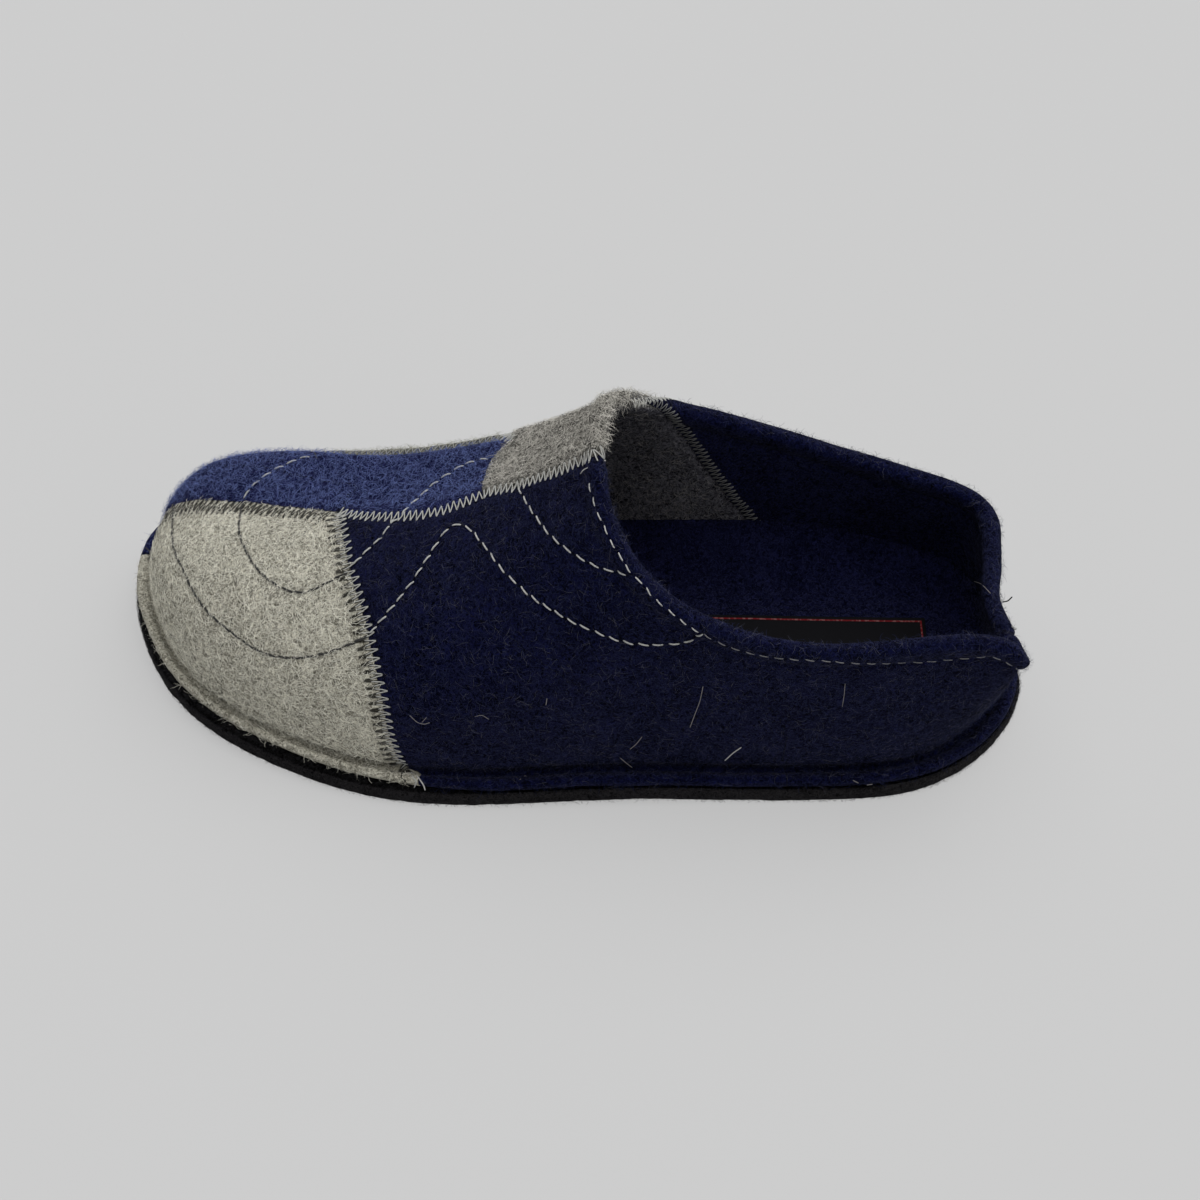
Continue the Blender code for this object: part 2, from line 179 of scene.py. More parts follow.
def ring_spline(values, knots, at):
    """A closed cubic spline through the rows of values, set at knots from 0 to 1, read at the places at."""
    count = len(values)
    steps = np.diff(knots)
    before = np.roll(steps, 1)
    after = np.roll(np.arange(count), -1)
    previous = np.roll(np.arange(count), 1)
    system = np.diag(2.0 * (before + steps))
    system[np.arange(count), after] += steps
    system[np.arange(count), previous] += before
    slopes = (values[after] - values) / steps[:, None]
    bend = np.linalg.solve(system, 6.0 * (slopes - slopes[previous]))
    low = np.clip(np.searchsorted(knots, at, side="right") - 1, 0, count - 1)
    high = (low + 1) % count
    step = steps[low][:, None]
    left = (knots[low + 1] - at)[:, None]
    right = (at - knots[low])[:, None]
    cubic = (bend[low] * left**3 + bend[high] * right**3) / (6.0 * step)
    from_low = (values[low] / step - bend[low] * step / 6.0) * left
    from_high = (values[high] / step - bend[high] * step / 6.0) * right
    return cubic + from_low + from_high


def plan_normals(ring):
    along = np.roll(ring, -1, 0) - np.roll(ring, 1, 0)
    out = np.column_stack([-along[:, 1], along[:, 0]])
    return out / np.linalg.norm(out, axis=1)[:, None]


def floor_height(x):
    share = x / SOLE_LENGTH
    spring = np.clip((share - SPRING_START) / (1.0 - SPRING_START), 0.0, 1.0)
    waist = np.clip((share - WAIST_START) / (WAIST_END - WAIST_START), 0.0, 1.0)
    return TOE_SPRING * spring**2 + WAIST_LIFT * np.sin(math.pi * waist) ** 2


def sole_top(x):
    return floor_height(x) + SOLE_THICKNESS


class Rings:
    """The slipper's rings at one set of stations: sole edge, feather line, collar and the wall's handles."""

    def __init__(self, at):
        half = 0.5 * (HEEL_WIDTH + np.array([e.ball for e in SOLE_EDGE]) * (BALL_WIDTH - HEEL_WIDTH))
        along = np.array([e.along for e in SOLE_EDGE]) * SOLE_LENGTH
        across = np.array([e.across for e in SOLE_EDGE]) * half
        edge_points = np.column_stack([along, across])
        knots = ring_knots(edge_points)
        self.edge = ring_spline(edge_points, knots, at)
        self.out = plan_normals(self.edge)
        self.feather = self.edge - self.out * (SOLE_MARGIN + FLANGE_WIDTH)
        heights = [HEEL_WALL + r.climb * (THROAT_HEIGHT - HEEL_WALL) for r in COLLAR]
        collar = [
            (r.along * SOLE_LENGTH, r.across * HEEL_WIDTH / 2.0, z) for r, z in zip(COLLAR, heights)
        ]
        self.collar = ring_spline(np.array(collar), knots, at)
        shares = ring_spline(np.array(WALL), knots, at)
        self.rise, self.lean, self.reach, self.drop, self.bed = shares.T
        self.under = sole_top(self.feather[:, 0]) + GAP

    def wall_curve(self, share):
        low = np.column_stack([self.feather, self.under + FELT - GROOVE_DEPTH])
        high = self.collar
        height = (high[:, 2] - low[:, 2])[:, None]
        plan_way = (low - high) * (1.0, 1.0, 0.0)
        outward = np.column_stack([self.out, np.zeros(len(self.out))])
        up = np.array([0.0, 0.0, 1.0])
        first = low + height * (self.rise[:, None] * up + self.lean[:, None] * outward)
        second = high + self.reach[:, None] * plan_way - self.drop[:, None] * height * up
        t = share[..., None]
        low, first, second, high = (p[:, None, :] for p in (low, first, second, high))
        return (
            (1 - t) ** 3 * low
            + 3 * (1 - t) ** 2 * t * first
            + 3 * (1 - t) * t**2 * second
            + t**3 * high
        )


# Points that measure the wall's curve, and the step that its slope is taken over
CURVE_POINTS = 301
CURVE_STEP = 0.002


def wall_points(rings, fractions, tops):
    """The wall's outer face at shares of the way up to the hem and at ways down from the top edge."""
    fine = np.linspace(0.0, 1.0, CURVE_POINTS)
    stations = len(rings.out)
    dense = rings.wall_curve(np.broadcast_to(fine, (stations, len(fine))))
    ways = np.linalg.norm(np.diff(dense, axis=1), axis=2)
    ways = np.concatenate([np.zeros((stations, 1)), np.cumsum(ways, axis=1)], axis=1)
    total = ways[:, -1]
    wanted = np.concatenate(
        [np.outer(total - HEM_HEIGHT, fractions), total[:, None] - np.asarray(tops)[None, :]], axis=1
    )
    share = np.array([np.interp(w, way, fine) for w, way in zip(wanted, ways)])
    points = rings.wall_curve(share)
    below = rings.wall_curve(np.clip(share - CURVE_STEP, 0.0, 1.0))
    above = rings.wall_curve(np.clip(share + CURVE_STEP, 0.0, 1.0))
    round_way = np.roll(points, -1, 0) - np.roll(points, 1, 0)
    normals = np.cross(above - below, round_way)
    normals /= np.linalg.norm(normals, axis=2)[..., None]
    return points, normals, total[:, None] - wanted


# The frame's origin is the middle of the CAD model's own sole edge, which has this many stations
CAD_STATIONS = 96
coarse_edge = Rings(np.arange(CAD_STATIONS) / CAD_STATIONS).edge
CENTRE = np.append((coarse_edge.min(axis=0) + coarse_edge.max(axis=0)) / 2.0, 0.0)


# ---- camera ----
def camera_axes():
    back = np.array(
        [
            math.sin(CAMERA_AZIMUTH) * math.cos(CAMERA_ELEVATION),
            math.cos(CAMERA_AZIMUTH) * math.cos(CAMERA_ELEVATION),
            math.sin(CAMERA_ELEVATION),
        ]
    )
    eye = np.array(CAMERA_TARGET) - CENTRE + CAMERA_DISTANCE * back
    right = np.cross(-back, (0.0, 0.0, 1.0))
    right /= np.linalg.norm(right)
    up = np.cross(right, -back)
    turned_right = math.cos(CAMERA_ROLL) * right + math.sin(CAMERA_ROLL) * up
    turned_up = -math.sin(CAMERA_ROLL) * right + math.cos(CAMERA_ROLL) * up
    return eye, turned_right, turned_up, back


EYE, RIGHT, UP, BACK = camera_axes()


def make_camera():
    data = bpy.data.cameras.new("camera")
    data.sensor_fit = "HORIZONTAL"
    data.sensor_width = SENSOR
    data.lens = FOCAL_PIXELS / PHOTO * SENSOR
    camera = bpy.data.objects.new("camera", data)
    matrix = Matrix.Identity(4)
    for column, axis in enumerate((RIGHT, UP, BACK, EYE)):
        for row in range(3):
            matrix[row][column] = axis[row]
    camera.matrix_world = matrix
    bpy.context.scene.collection.objects.link(camera)
    bpy.context.scene.camera = camera


def pixel_ray(pixel):
    """Direction from the camera through a pixel of the photograph."""
    x = (pixel[0] - PHOTO / 2.0) / FOCAL_PIXELS
    y = (PHOTO / 2.0 - pixel[1]) / FOCAL_PIXELS
    way = RIGHT * x + UP * y - BACK
    return way / np.linalg.norm(way)


# ---- small mesh helpers ----
def grid_faces(rows, columns):
    """Quads of a grid that closes on itself along its rows and along its columns."""
    i = np.arange(rows)[:, None]
    k = np.arange(columns)[None, :]
    j = (i + 1) % rows
    n = (k + 1) % columns
    corners = [i * columns + k, j * columns + k, j * columns + n, i * columns + n]
    return np.stack([np.broadcast_to(c, (rows, columns)) for c in corners], axis=2).reshape(-1, 4)


def add_mesh(name, points, faces, materials, node=None, smooth=True):
    """Makes a piece on the slipper's one body; node is the CAD node that it replaces."""
    mesh = bpy.data.meshes.new(name)
    faces = faces.tolist() if hasattr(faces, "tolist") else faces
    mesh.from_pydata(np.asarray(points).reshape(-1, 3).tolist(), [], faces)
    if smooth:
        mesh.shade_smooth()
    for material in materials:
        mesh.materials.append(material)
    piece = bpy.data.objects.new(name, mesh)
    bpy.context.scene.collection.objects.link(piece)
    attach(piece, "root")
    if node:
        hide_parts(node)
    return piece


def set_attribute(piece, name, values):
    layer = piece.data.attributes.new(name, "FLOAT", "POINT")
    layer.data.foreach_set("value", np.asarray(values, dtype=np.float32).ravel())


def soft_noise(points, scale, seed):
    """Smooth noise from -1 to 1 at points, with features of about 1 / scale."""
    shift = Vector((seed * 3.1, seed * 1.7, seed * 2.3))
    return np.array([noise.noise(Vector(p) * scale + shift) for p in points.reshape(-1, 3).tolist()])


# ---- the shell ----
# Flange section from under the wall outwards, round the lip and back over it to the groove: out and height
FLANGE_SECTION = [
    (-0.0034, 0.0),
    (0.0020, 0.0),
    (0.0042, 0.0),
    (0.0050, 0.0003),
    (0.0054, 0.0010),
    (0.00545, 0.0018),
    (0.0053, 0.0026),
    (0.0048, 0.0032),
    (0.0041, 0.0035),
    (0.0034, 0.0035),
    (0.0027, 0.0033),
    (0.0021, 0.0029),
    (0.0016, 0.0023),
    (0.0012, 0.0016),
    (0.0008, 0.0012),
    (0.0004, 0.0013),
    (0.0001, 0.0018),
]
# The row at the lip's middle, from which v only grows
LIP_ROW = 5
# Hem rows: ways down from the top edge, as shares of the hem's height
HEM_ROWS = [0.97, 0.93, 0.87, 0.80, 0.71, 0.62, 0.53, 0.44, 0.35, 0.27, 0.19, 0.12, 0.06, 0.02]
# The hem's roll and its end and sharpness, its rounded crown, and the pinch at its stitches
HEM_ROLL, ROLL_END, ROLL_POWER = 1.25 * MM, 0.62, 0.8
CROWN_RADIUS = 2.9 * MM
PINCH_DEPTH, PINCH_WIDTH = 0.4 * MM, 1.1 * MM
# The stretch of the wall that its inner face covers, and how high the inner face starts over the groove
INNER_FROM, INNER_TO = 0.03, 0.985
INNER_START = 0.004


def hem_half(left):
    """Half thickness of the felt near the top edge: pinched at the stitches, rolled and rounded above."""
    share = np.clip(1.0 - left / HEM_HEIGHT, 0.0, 1.0)
    roll = HEM_ROLL * np.sin(math.pi * np.clip(share * ROLL_END, 0.0, 1.0)) ** ROLL_POWER
    roll = np.where(left < HEM_HEIGHT, roll, 0.0)
    depth = np.clip(1.0 - left / CROWN_RADIUS, 0.0, 1.0)
    pinch = PINCH_DEPTH * np.exp(-(((left - HEM_HEIGHT) / PINCH_WIDTH) ** 2))
    return (FELT / 2.0 + roll - pinch) * np.sqrt(1.0 - depth**2)


class Shell:
    """The upper as a grid of stations x rows that closes on itself both ways.

    u counts round the stations from 0 to 1. v is -1 at the flange's lip, 0 in the groove, HEM_BASE at the
    foot of the hem, 1 on the top edge, and 2 - v on the inner face.
    """

    def __init__(self):
        rings = Rings(np.arange(STATIONS) / STATIONS)
        self.rings = rings
        fractions = np.linspace(0.0, 1.0, WALL_ROWS + 1)[1:]
        tops = [HEM_HEIGHT * share for share in HEM_ROWS]
        face, normals, left = wall_points(rings, fractions, tops)
        middle = face - normals * FELT / 2.0
        half = hem_half(left)
        outer = middle + normals * half[..., None]
        inner_fractions = np.linspace(INNER_FROM, INNER_TO, INNER_ROWS)
        inner_face, inner_normals, inner_left = wall_points(rings, inner_fractions, tops)
        inner_half = hem_half(inner_left)
        inner_middle = inner_face - inner_normals * FELT / 2.0
        inner = inner_middle - inner_normals * inner_half[..., None]
        crown = rings.collar - normals[:, -1] * FELT / 2.0
        sections = []
        rows = []
        for out, height in FLANGE_SECTION:
            plan = rings.feather + rings.out * out
            sections.append(np.column_stack([plan, sole_top(plan[:, 0]) + GAP + height])[:, None, :])
            rows.append(-max(out, 0.0) / FLANGE_WIDTH)
        sections += [outer, crown[:, None, :], inner[:, ::-1]]
        hem_v = [1.0 - (1.0 - HEM_BASE) * share for share in HEM_ROWS]
        rows += list(fractions * HEM_BASE) + hem_v + [1.0]
        rows += [2.0 - v for v in reversed(hem_v)]
        rows += [2.0 - v for v in reversed(list(inner_fractions * HEM_BASE))]
        self.points = np.concatenate(sections, axis=1)
        self.v = np.array(rows)
        self.flange_rows = len(FLANGE_SECTION)
        self.top_row = self.flange_rows + WALL_ROWS + len(HEM_ROWS)
        self.columns = self.points.shape[1]
        self.points = self.points - CENTRE
        self.points[:, -1, 2] = np.minimum(self.points[:, -1, 2], self.points[:, 0, 2] + INNER_START)
        self.faces = grid_faces(STATIONS, self.columns)
        self.refresh()

    def refresh(self):
        """Works out the normals and the search tree again, after points have moved."""
        along = np.roll(self.points, -1, 0) - np.roll(self.points, 1, 0)
        up = np.roll(self.points, -1, 1) - np.roll(self.points, 1, 1)
        normals = np.cross(up, along)
        lengths = np.linalg.norm(normals, axis=2)[..., None]
        self.normals = normals / np.maximum(lengths, 1e-12)
        self.tree = BVHTree.FromPolygons(self.points.reshape(-1, 3).tolist(), self.faces.tolist())

    def place(self, face, spot):
        """The (u, v) of a spot on a face."""
        i, k = divmod(face, self.columns)
        origin = self.points[i, k]
        first = self.points[(i + 1) % STATIONS, k] - origin
        second = self.points[i, (k + 1) % self.columns] - origin
        system = np.array([[first @ first, first @ second], [first @ second, second @ second]])
        way = np.array(spot) - origin
        s, t = np.clip(np.linalg.solve(system, (way @ first, way @ second)), 0.0, 1.0)
        next_v = self.v[min(k + 1, self.columns - 1)]
        return (i + s) / STATIONS, self.v[k] + t * (next_v - self.v[k])

    def cast(self, pixel):
        """The (u, v) that the camera sees at a pixel, or the nearest to its ray if the ray goes by."""
        way = pixel_ray(pixel)
        spot, _, face, _ = self.tree.ray_cast(Vector(EYE), Vector(way))
        if spot is None:
            best = None
            for distance in RAY_TRIES:
                found = self.tree.find_nearest(Vector(EYE + way * distance))
                if best is None or found[3] < best[3]:
                    best = found
            spot, _, face, _ = best
        return self.place(face, spot)

    def read(self, uv, grid):
        """Values of a grid at rows of (u, v)."""
        uv = np.atleast_2d(uv)
        last = self.columns - 1
        k = np.interp(uv[:, 1], self.v[LIP_ROW:], np.arange(LIP_ROW, self.columns))
        k0 = np.clip(np.floor(k).astype(int), LIP_ROW, last - 1)
        t = (k - k0)[:, None]
        i = (uv[:, 0] % 1.0) * STATIONS
        i0 = np.floor(i).astype(int) % STATIONS
        i1 = (i0 + 1) % STATIONS
        s = (i - np.floor(i))[:, None]
        low = grid[i0, k0] * (1 - s) + grid[i1, k0] * s
        high = grid[i0, k0 + 1] * (1 - s) + grid[i1, k0 + 1] * s
        return low * (1 - t) + high * t

    def surface(self, uv):
        points = self.read(uv, self.points)
        normals = self.read(uv, self.normals)
        return points, normals / np.linalg.norm(normals, axis=1)[:, None]


def smooth_path(uv, per_span=12):
    """A rounded path through rows of (u, v)."""
    uv = np.asarray(uv, dtype=float)
    if len(uv) < 3:
        share = np.linspace(0.0, 1.0, per_span * 2)[:, None]
        return uv[0] + share * (uv[-1] - uv[0])
    slopes = np.gradient(uv, axis=0)
    result = []
    for n in range(len(uv) - 1):
        t = (np.arange(per_span) / per_span)[:, None]
        result.append(
            (2 * t**3 - 3 * t**2 + 1) * uv[n]
            + (t**3 - 2 * t**2 + t) * slopes[n]
            + (-2 * t**3 + 3 * t**2) * uv[n + 1]
            + (t**3 - t**2) * slopes[n + 1]
        )
    result.append(uv[-1:])
    return np.concatenate(result)


def even_path(uv, step):
    """A path's (u, v) at equal steps along the shell, with the way to each."""
    points, _ = shell.surface(uv)
    ways = np.concatenate([[0.0], np.cumsum(np.linalg.norm(np.diff(points, axis=0), axis=1))])
    count = max(2, int(ways[-1] / step) + 1)
    wanted = np.linspace(0.0, ways[-1], count)
    return np.column_stack([np.interp(wanted, ways, uv[:, axis]) for axis in (0, 1)]), wanted


# ---- panels: where the seams run, in pixels of the photograph ----
BLUE_GREY = [
    (339, 511), (317, 509), (297, 507), (276, 505), (255, 502), (234, 501), (213, 500), (196, 499),
    (184, 501), (176, 503), (171, 506),
]  # fmt: skip
GREY_NAVY = [
    (339, 511), (341, 532), (346, 556), (351, 580), (358, 601), (364, 621), (373, 660), (381, 700),
    (387, 730), (394, 752), (400, 764),
]  # fmt: skip
BLUE_NAVY = [(339, 511), (350, 514), (370, 516), (400, 516), (425, 513), (450, 507), (482, 494)]
TAUPE_NAVY = [(482, 494), (500, 489), (520, 484), (540, 477), (560, 470), (580, 461), (594, 456), (604, 453)]
BLUE_TAUPE = [(482, 494), (484, 478), (490, 462), (500, 450), (512, 438)]
# Over the far side of the instep, in (u, v)
BLUE_OLIVE = [
    (0.584, 0.700), (0.584, 0.655), (0.579, 0.605), (0.571, 0.565), (0.566, 0.525), (0.565, 0.480),
    (0.568, 0.435), (0.575, 0.385), (0.582, 0.330), (0.585, 0.260), (0.583, 0.120), (0.579, 0.000),
]  # fmt: skip
MEDIAL_NAVY = [
    (632, 396), (642, 400), (652, 405), (662, 412), (672, 423), (683, 438), (697, 457), (717, 484),
    (733, 505), (745, 518),
]  # fmt: skip
TOE_LIP = (150, 554)
NOTCH = (1014, 633)
TOPSTITCH = [
    (586.7, 476.7), (593, 498.6), (598, 514), (606, 530), (612, 544), (622, 558.6), (630.7, 573),
    (643, 584), (651.4, 595.7), (665.7, 608), (677, 617), (693, 629), (707, 636.4), (721.4, 643.6),
    (732, 648), (763, 656), (794, 659.5), (825.6, 661), (857, 663.4), (888, 663.4), (919, 662.5),
    (953, 659.5), (970, 658), (989, 656),
]  # fmt: skip

shell = Shell()


def cast_all(pixels):
    return np.array([shell.cast(pixel) for pixel in pixels])


def mirrored_v(uv):
    """Brings places on the inner face to the outer face's v."""
    uv = uv.copy()
    inside = uv[:, 1] > 1.0
    uv[inside, 1] = 2.0 - uv[inside, 1]
    return uv


toe_lip = shell.cast(TOE_LIP)[0]
blue_grey = np.vstack([cast_all(BLUE_GREY), [(toe_lip + 0.006, 0.12), (toe_lip + 0.001, 0.0)]])
grey_navy = np.vstack([cast_all(GREY_NAVY), [(0.313, 0.0)]])
blue_navy = cast_all(BLUE_NAVY)
taupe_navy = cast_all(TAUPE_NAVY)
taupe_navy = np.vstack([taupe_navy, [(taupe_navy[-1][0], 1.0)]])
blue_taupe = cast_all(BLUE_TAUPE)
blue_taupe[-1] = blue_taupe[-2] + (blue_taupe[-2] - blue_taupe[-3])
blue_olive = np.vstack([blue_taupe[-1:], BLUE_OLIVE])
olive_taupe = np.vstack([blue_taupe[-1:], [(0.640, 0.62), (0.662, 0.42), (0.676, 0.20), (0.684, 0.0)]])
medial_navy = np.vstack([mirrored_v(cast_all(MEDIAL_NAVY)), [(0.838, 0.26), (0.843, 0.12), (0.845, 0.0)]])
medial_navy = np.vstack([[(medial_navy[0][0] - 0.002, 1.0)], medial_navy[1:]])
lip_grey = shell.cast((418, 782))[0]

PATHS = {
    "blue_grey": blue_grey,
    "grey_navy": grey_navy,
    "blue_navy": blue_navy,
    "taupe_navy": taupe_navy,
    "blue_taupe": blue_taupe,
    "blue_olive": blue_olive,
    "olive_taupe": olive_taupe,
    "medial_navy": medial_navy,
    "lip_grey": np.array([(grey_navy[-1][0], 0.0), (lip_grey, -0.15), (lip_grey, -1.0)]),
    "lip_blue": np.array([(blue_grey[-1][0], 0.0), (toe_lip, -0.5), (toe_lip - 0.001, -1.0)]),
    "lip_olive": np.array([(0.578, 0.0), (0.577, -1.0)]),
    "lip_taupe": np.array([(0.684, 0.0), (0.686, -1.0)]),
    "lip_navy": np.array([(0.845, 0.0), (0.848, -1.0)]),
}
PATH_STEP = 0.4 * MM
PATHS = {name: even_path(smooth_path(path), PATH_STEP) for name, path in PATHS.items()}


def joined(*names):
    """One closed ring of (u, v) out of paths; a name that starts with - is walked backwards."""
    parts = {name: path[0] for name, path in PATHS.items()}
    parts["over_top"] = np.array([(taupe_navy[-1][0], FAR), (medial_navy[0][0], FAR)])
    return np.vstack([parts[name[1:]][::-1] if name.startswith("-") else parts[name] for name in names])


# Each panel's ring of seams; the stretch over_top closes the taupe one above the top edge
FAR = 1.3
PANELS = {
    "grey": "-grey_navy blue_grey lip_blue -lip_grey",
    "blue": "blue_grey lip_blue -lip_olive -blue_olive -blue_taupe -blue_navy",
    "olive": "blue_olive lip_olive -lip_taupe -olive_taupe",
    "taupe": "taupe_navy over_top medial_navy lip_navy -lip_taupe -olive_taupe -blue_taupe",
}
RINGS = {region: joined(*names.split()) for region, names in PANELS.items()}


def inside(points, ring):
    """Which rows of (u, v) lie inside a closed ring."""
    x, y = points[:, 0], points[:, 1]
    result = np.zeros(len(points), dtype=bool)
    for (x0, y0), (x1, y1) in zip(ring, np.roll(ring, -1, 0)):
        if y0 == y1:
            continue
        crosses = (y0 > y) != (y1 > y)
        result ^= crosses & (x < (x1 - x0) * (y - y0) / (y1 - y0) + x0)
    return result


# Height from which a path is also laid on the inner face
FOLD_FROM = 0.04


def near_paths(paths):
    """For each shell point: how far the nearest path is, on which side, the way along it, and its index.

    The side is + on the left of the path, seen from outside the slipper.
    """
    spots, ways, lefts, aheads, owners = [], [], [], [], []
    for index, (uv, way) in enumerate(paths):
        above = uv[:, 1] > FOLD_FROM
        folded = np.column_stack([uv[above, 0], 2.0 - uv[above, 1]])
        for half, half_way, sign in ((uv, way, 1.0), (folded, way[above], -1.0)):
            if len(half) < 3:
                continue
            on, normals = shell.surface(half)
            spots.append(on)
            ways.append(half_way)
            ahead = np.gradient(on, axis=0)
            ahead /= np.linalg.norm(ahead, axis=1)[:, None]
            aheads.append(ahead)
            lefts.append(sign * np.cross(normals, ahead))
            owners.append(np.full(len(half), index))
    spots, ways, lefts, aheads, owners = (
        np.concatenate(part) for part in (spots, ways, lefts, aheads, owners)
    )
    tree = KDTree(len(spots))
    for n, spot in enumerate(spots.tolist()):
        tree.insert(spot, n)
    tree.balance()
    flat = shell.points.reshape(-1, 3)
    found = [tree.find(p) for p in flat.tolist()]
    nearest = np.array([f[1] for f in found])
    off = flat - spots[nearest]
    side = np.sign(np.einsum("ij,ij->i", off, lefts[nearest]))
    past = np.clip(np.einsum("ij,ij->i", off, aheads[nearest]), -PATH_STEP, PATH_STEP)
    return np.array([f[2] for f in found]), side, ways[nearest] + past, owners[nearest]


# Every shell vertex as (u, v), the inner face folded onto the outer one
grid_u = np.repeat(np.arange(STATIONS) / STATIONS, shell.columns)
grid_v = np.tile(np.where(shell.v > 1.0, 2.0 - shell.v, shell.v), STATIONS)
LIP_V = -0.999
under_lip = np.tile(np.arange(shell.columns) < LIP_ROW, STATIONS)
grid_v = np.where(under_lip, LIP_V, np.maximum(grid_v, LIP_V))
grid_uv = np.column_stack([grid_u, grid_v])
path_distance = {name: near_paths([path])[0] for name, path in PATHS.items()}
signed = {}
for region, names in PANELS.items():
    edges = [name.lstrip("-") for name in names.split() if name != "over_top"]
    distance = np.min([path_distance[name] for name in edges], axis=0)
    signed[region] = np.where(inside(grid_uv, RINGS[region]), distance, -distance) / MM

# Zigzag seams: pitch, half width and how far the stitch sits to the left of the butt joint, in mm
Zigzag = namedtuple("Zigzag", "path pitch reach shift")
ZIGZAGS = [
    Zigzag("blue_grey", 2.10, 3.10, 2.75),
    Zigzag("grey_navy", 2.45, 3.35, -0.60),
    Zigzag("blue_navy", 2.10, 2.30, 0.00),
    Zigzag("taupe_navy", 1.90, 2.25, 0.20),
    Zigzag("blue_olive", 2.20, 1.50, -1.90),
    Zigzag("olive_taupe", 2.20, 2.40, 0.00),
    Zigzag("medial_navy", 1.70, 2.10, -1.90),
]


def even_count(way, step):
    """How many equal steps of about this length go into the way."""
    return max(1, int(way[-1] / step))


seam_distance, seam_side, seam_way, seam_owner = near_paths([PATHS[z.path] for z in ZIGZAGS])
seam_lengths = [PATHS[z.path][1] for z in ZIGZAGS]
half_pitch = np.array([w[-1] / even_count(w, z.pitch * MM / 2.0) for w, z in zip(seam_lengths, ZIGZAGS)])
seam_phase = seam_way / half_pitch[seam_owner]
seam_shift = np.array([z.shift for z in ZIGZAGS])[seam_owner]
seam_reach = np.array([z.reach for z in ZIGZAGS])[seam_owner]
seam_across = (seam_side * seam_distance / MM - seam_shift) / seam_reach

# The groove all round, and the notch in the hem at the heel
foot_u = np.linspace(0.0, 0.9995, 1500)
foot_path = even_path(np.column_stack([foot_u, np.zeros(1500)]), 0.5 * MM)
foot_distance = near_paths([foot_path])[0]
notch_u = shell.cast(NOTCH)[0]
notch_path = even_path(np.column_stack([np.full(9, notch_u), np.linspace(0.86, 1.0, 9)]), 0.3 * MM)
notch_distance = near_paths([notch_path])[0]

# ---- running stitches, in pixels of the photograph ----
SWIRL_INNER = [
    (316, 455), (308, 456), (299, 458), (288, 463), (273, 470), (263, 477), (253, 485), (246, 494),
    (242, 504), (239, 524), (244, 547), (258, 570), (278, 586), (299, 593), (314, 589), (332, 580),
    (345, 573), (359, 558), (370, 547), (382, 536), (390, 524), (401, 514), (411, 504), (421, 495),
    (433, 484), (446, 475), (462, 465), (475, 460), (488, 458),
]  # fmt: skip
SWIRL_OUTER = [
    (173, 508), (172, 522), (177, 558), (184, 573), (197, 598), (209, 614), (230, 631), (253, 648),
    (273, 656), (299, 658), (324, 654), (350, 644), (365, 637), (379, 623), (390, 609), (401, 596),
    (413, 580), (424, 563), (434, 547), (443, 533), (450, 526), (458, 523), (463, 525), (472, 531),
    (480, 541), (489, 552), (497, 564), (508, 576), (519, 586), (531, 597), (545, 606), (560, 615),
    (574, 623), (590, 630), (605, 636), (622, 642), (639, 645), (655, 646), (672, 645), (688, 643),
    (699, 636), (706, 632),
]  # fmt: skip
UPPER_CURVE = [
    (514, 484), (521, 493), (528, 506), (537, 519), (545, 530), (555, 540), (566, 549), (579, 558),
    (592, 565), (607, 571), (620, 574), (633, 575), (639, 576),
]  # fmt: skip
RUN_STEP = 0.25 * MM
RUNS = [
    even_path(smooth_path(cast_all(route), 6), RUN_STEP) for route in (SWIRL_INNER, SWIRL_OUTER, UPPER_CURVE)
]
run_distance, run_side, _, _ = near_paths(RUNS)

# ---- soft shape of the felt: seams pulled in, gentle swells, creases ----
# Creases: pixels along the crease, half width in mm, depth in mm (negative for a ridge).
CREASES = [
    ([(470, 560), (510, 640), (560, 720)], 9.0, 0.35),
    ([(640, 620), (690, 680), (760, 720)], 8.0, 0.30),
    ([(930, 690), (960, 720), (975, 745)], 6.0, 0.35),
    ([(880, 690), (900, 730), (905, 765)], 7.0, -0.25),
    ([(560, 500), (590, 540), (610, 590)], 6.0, 0.30),
]

# How much narrower the flange is than in the part, negative for wider: (share round the ring, mm)
LIP_TRIM = [
    (0.0, -0.2), (0.05, -0.5), (0.27, -0.4), (0.30, 0.7), (0.335, 1.6), (0.40, 1.8), (0.44, 1.2),
    (0.475, 0.4), (0.51, -1.2), (0.535, -2.0), (0.57, -1.0), (0.61, 0.2), (1.0, -0.2),
]  # fmt: skip
# Local swells of the wall: pixel at the middle, reach in mm, outward push in mm
SWELLS = [((1024, 658), 6.5, 1.6), ((1004, 598), 10.0, -2.4), ((1000, 520), 7.0, 0.8)]
# Dents along the groove, the notch and the running stitches: depth and half width in mm
FOOT_DENT = (0.90, 1.3)
NOTCH_DENT = (0.9, 0.9)
RUN_DENT = (0.30, 1.1)
# A seam is pulled in, and the felt beside it stands up: depth or height, half width, and its place, in mm
SEAM_PULL, SEAM_WIDTH = 0.55, 1.5
SEAM_RIDGE, RIDGE_WIDTH, RIDGE_PLACE = 0.20, 1.6, 4.2
# Height over the groove, in v, from which the wall swells in full; how much the flange's edge lifts, in mm
FULL_SWELL = 0.1
LIP_LIFT = 0.55


def dent(distance, depth, width):
    """Depth of a dent, in metres, at distances in mm."""
    return depth * MM * np.exp(-((distance / width) ** 2))


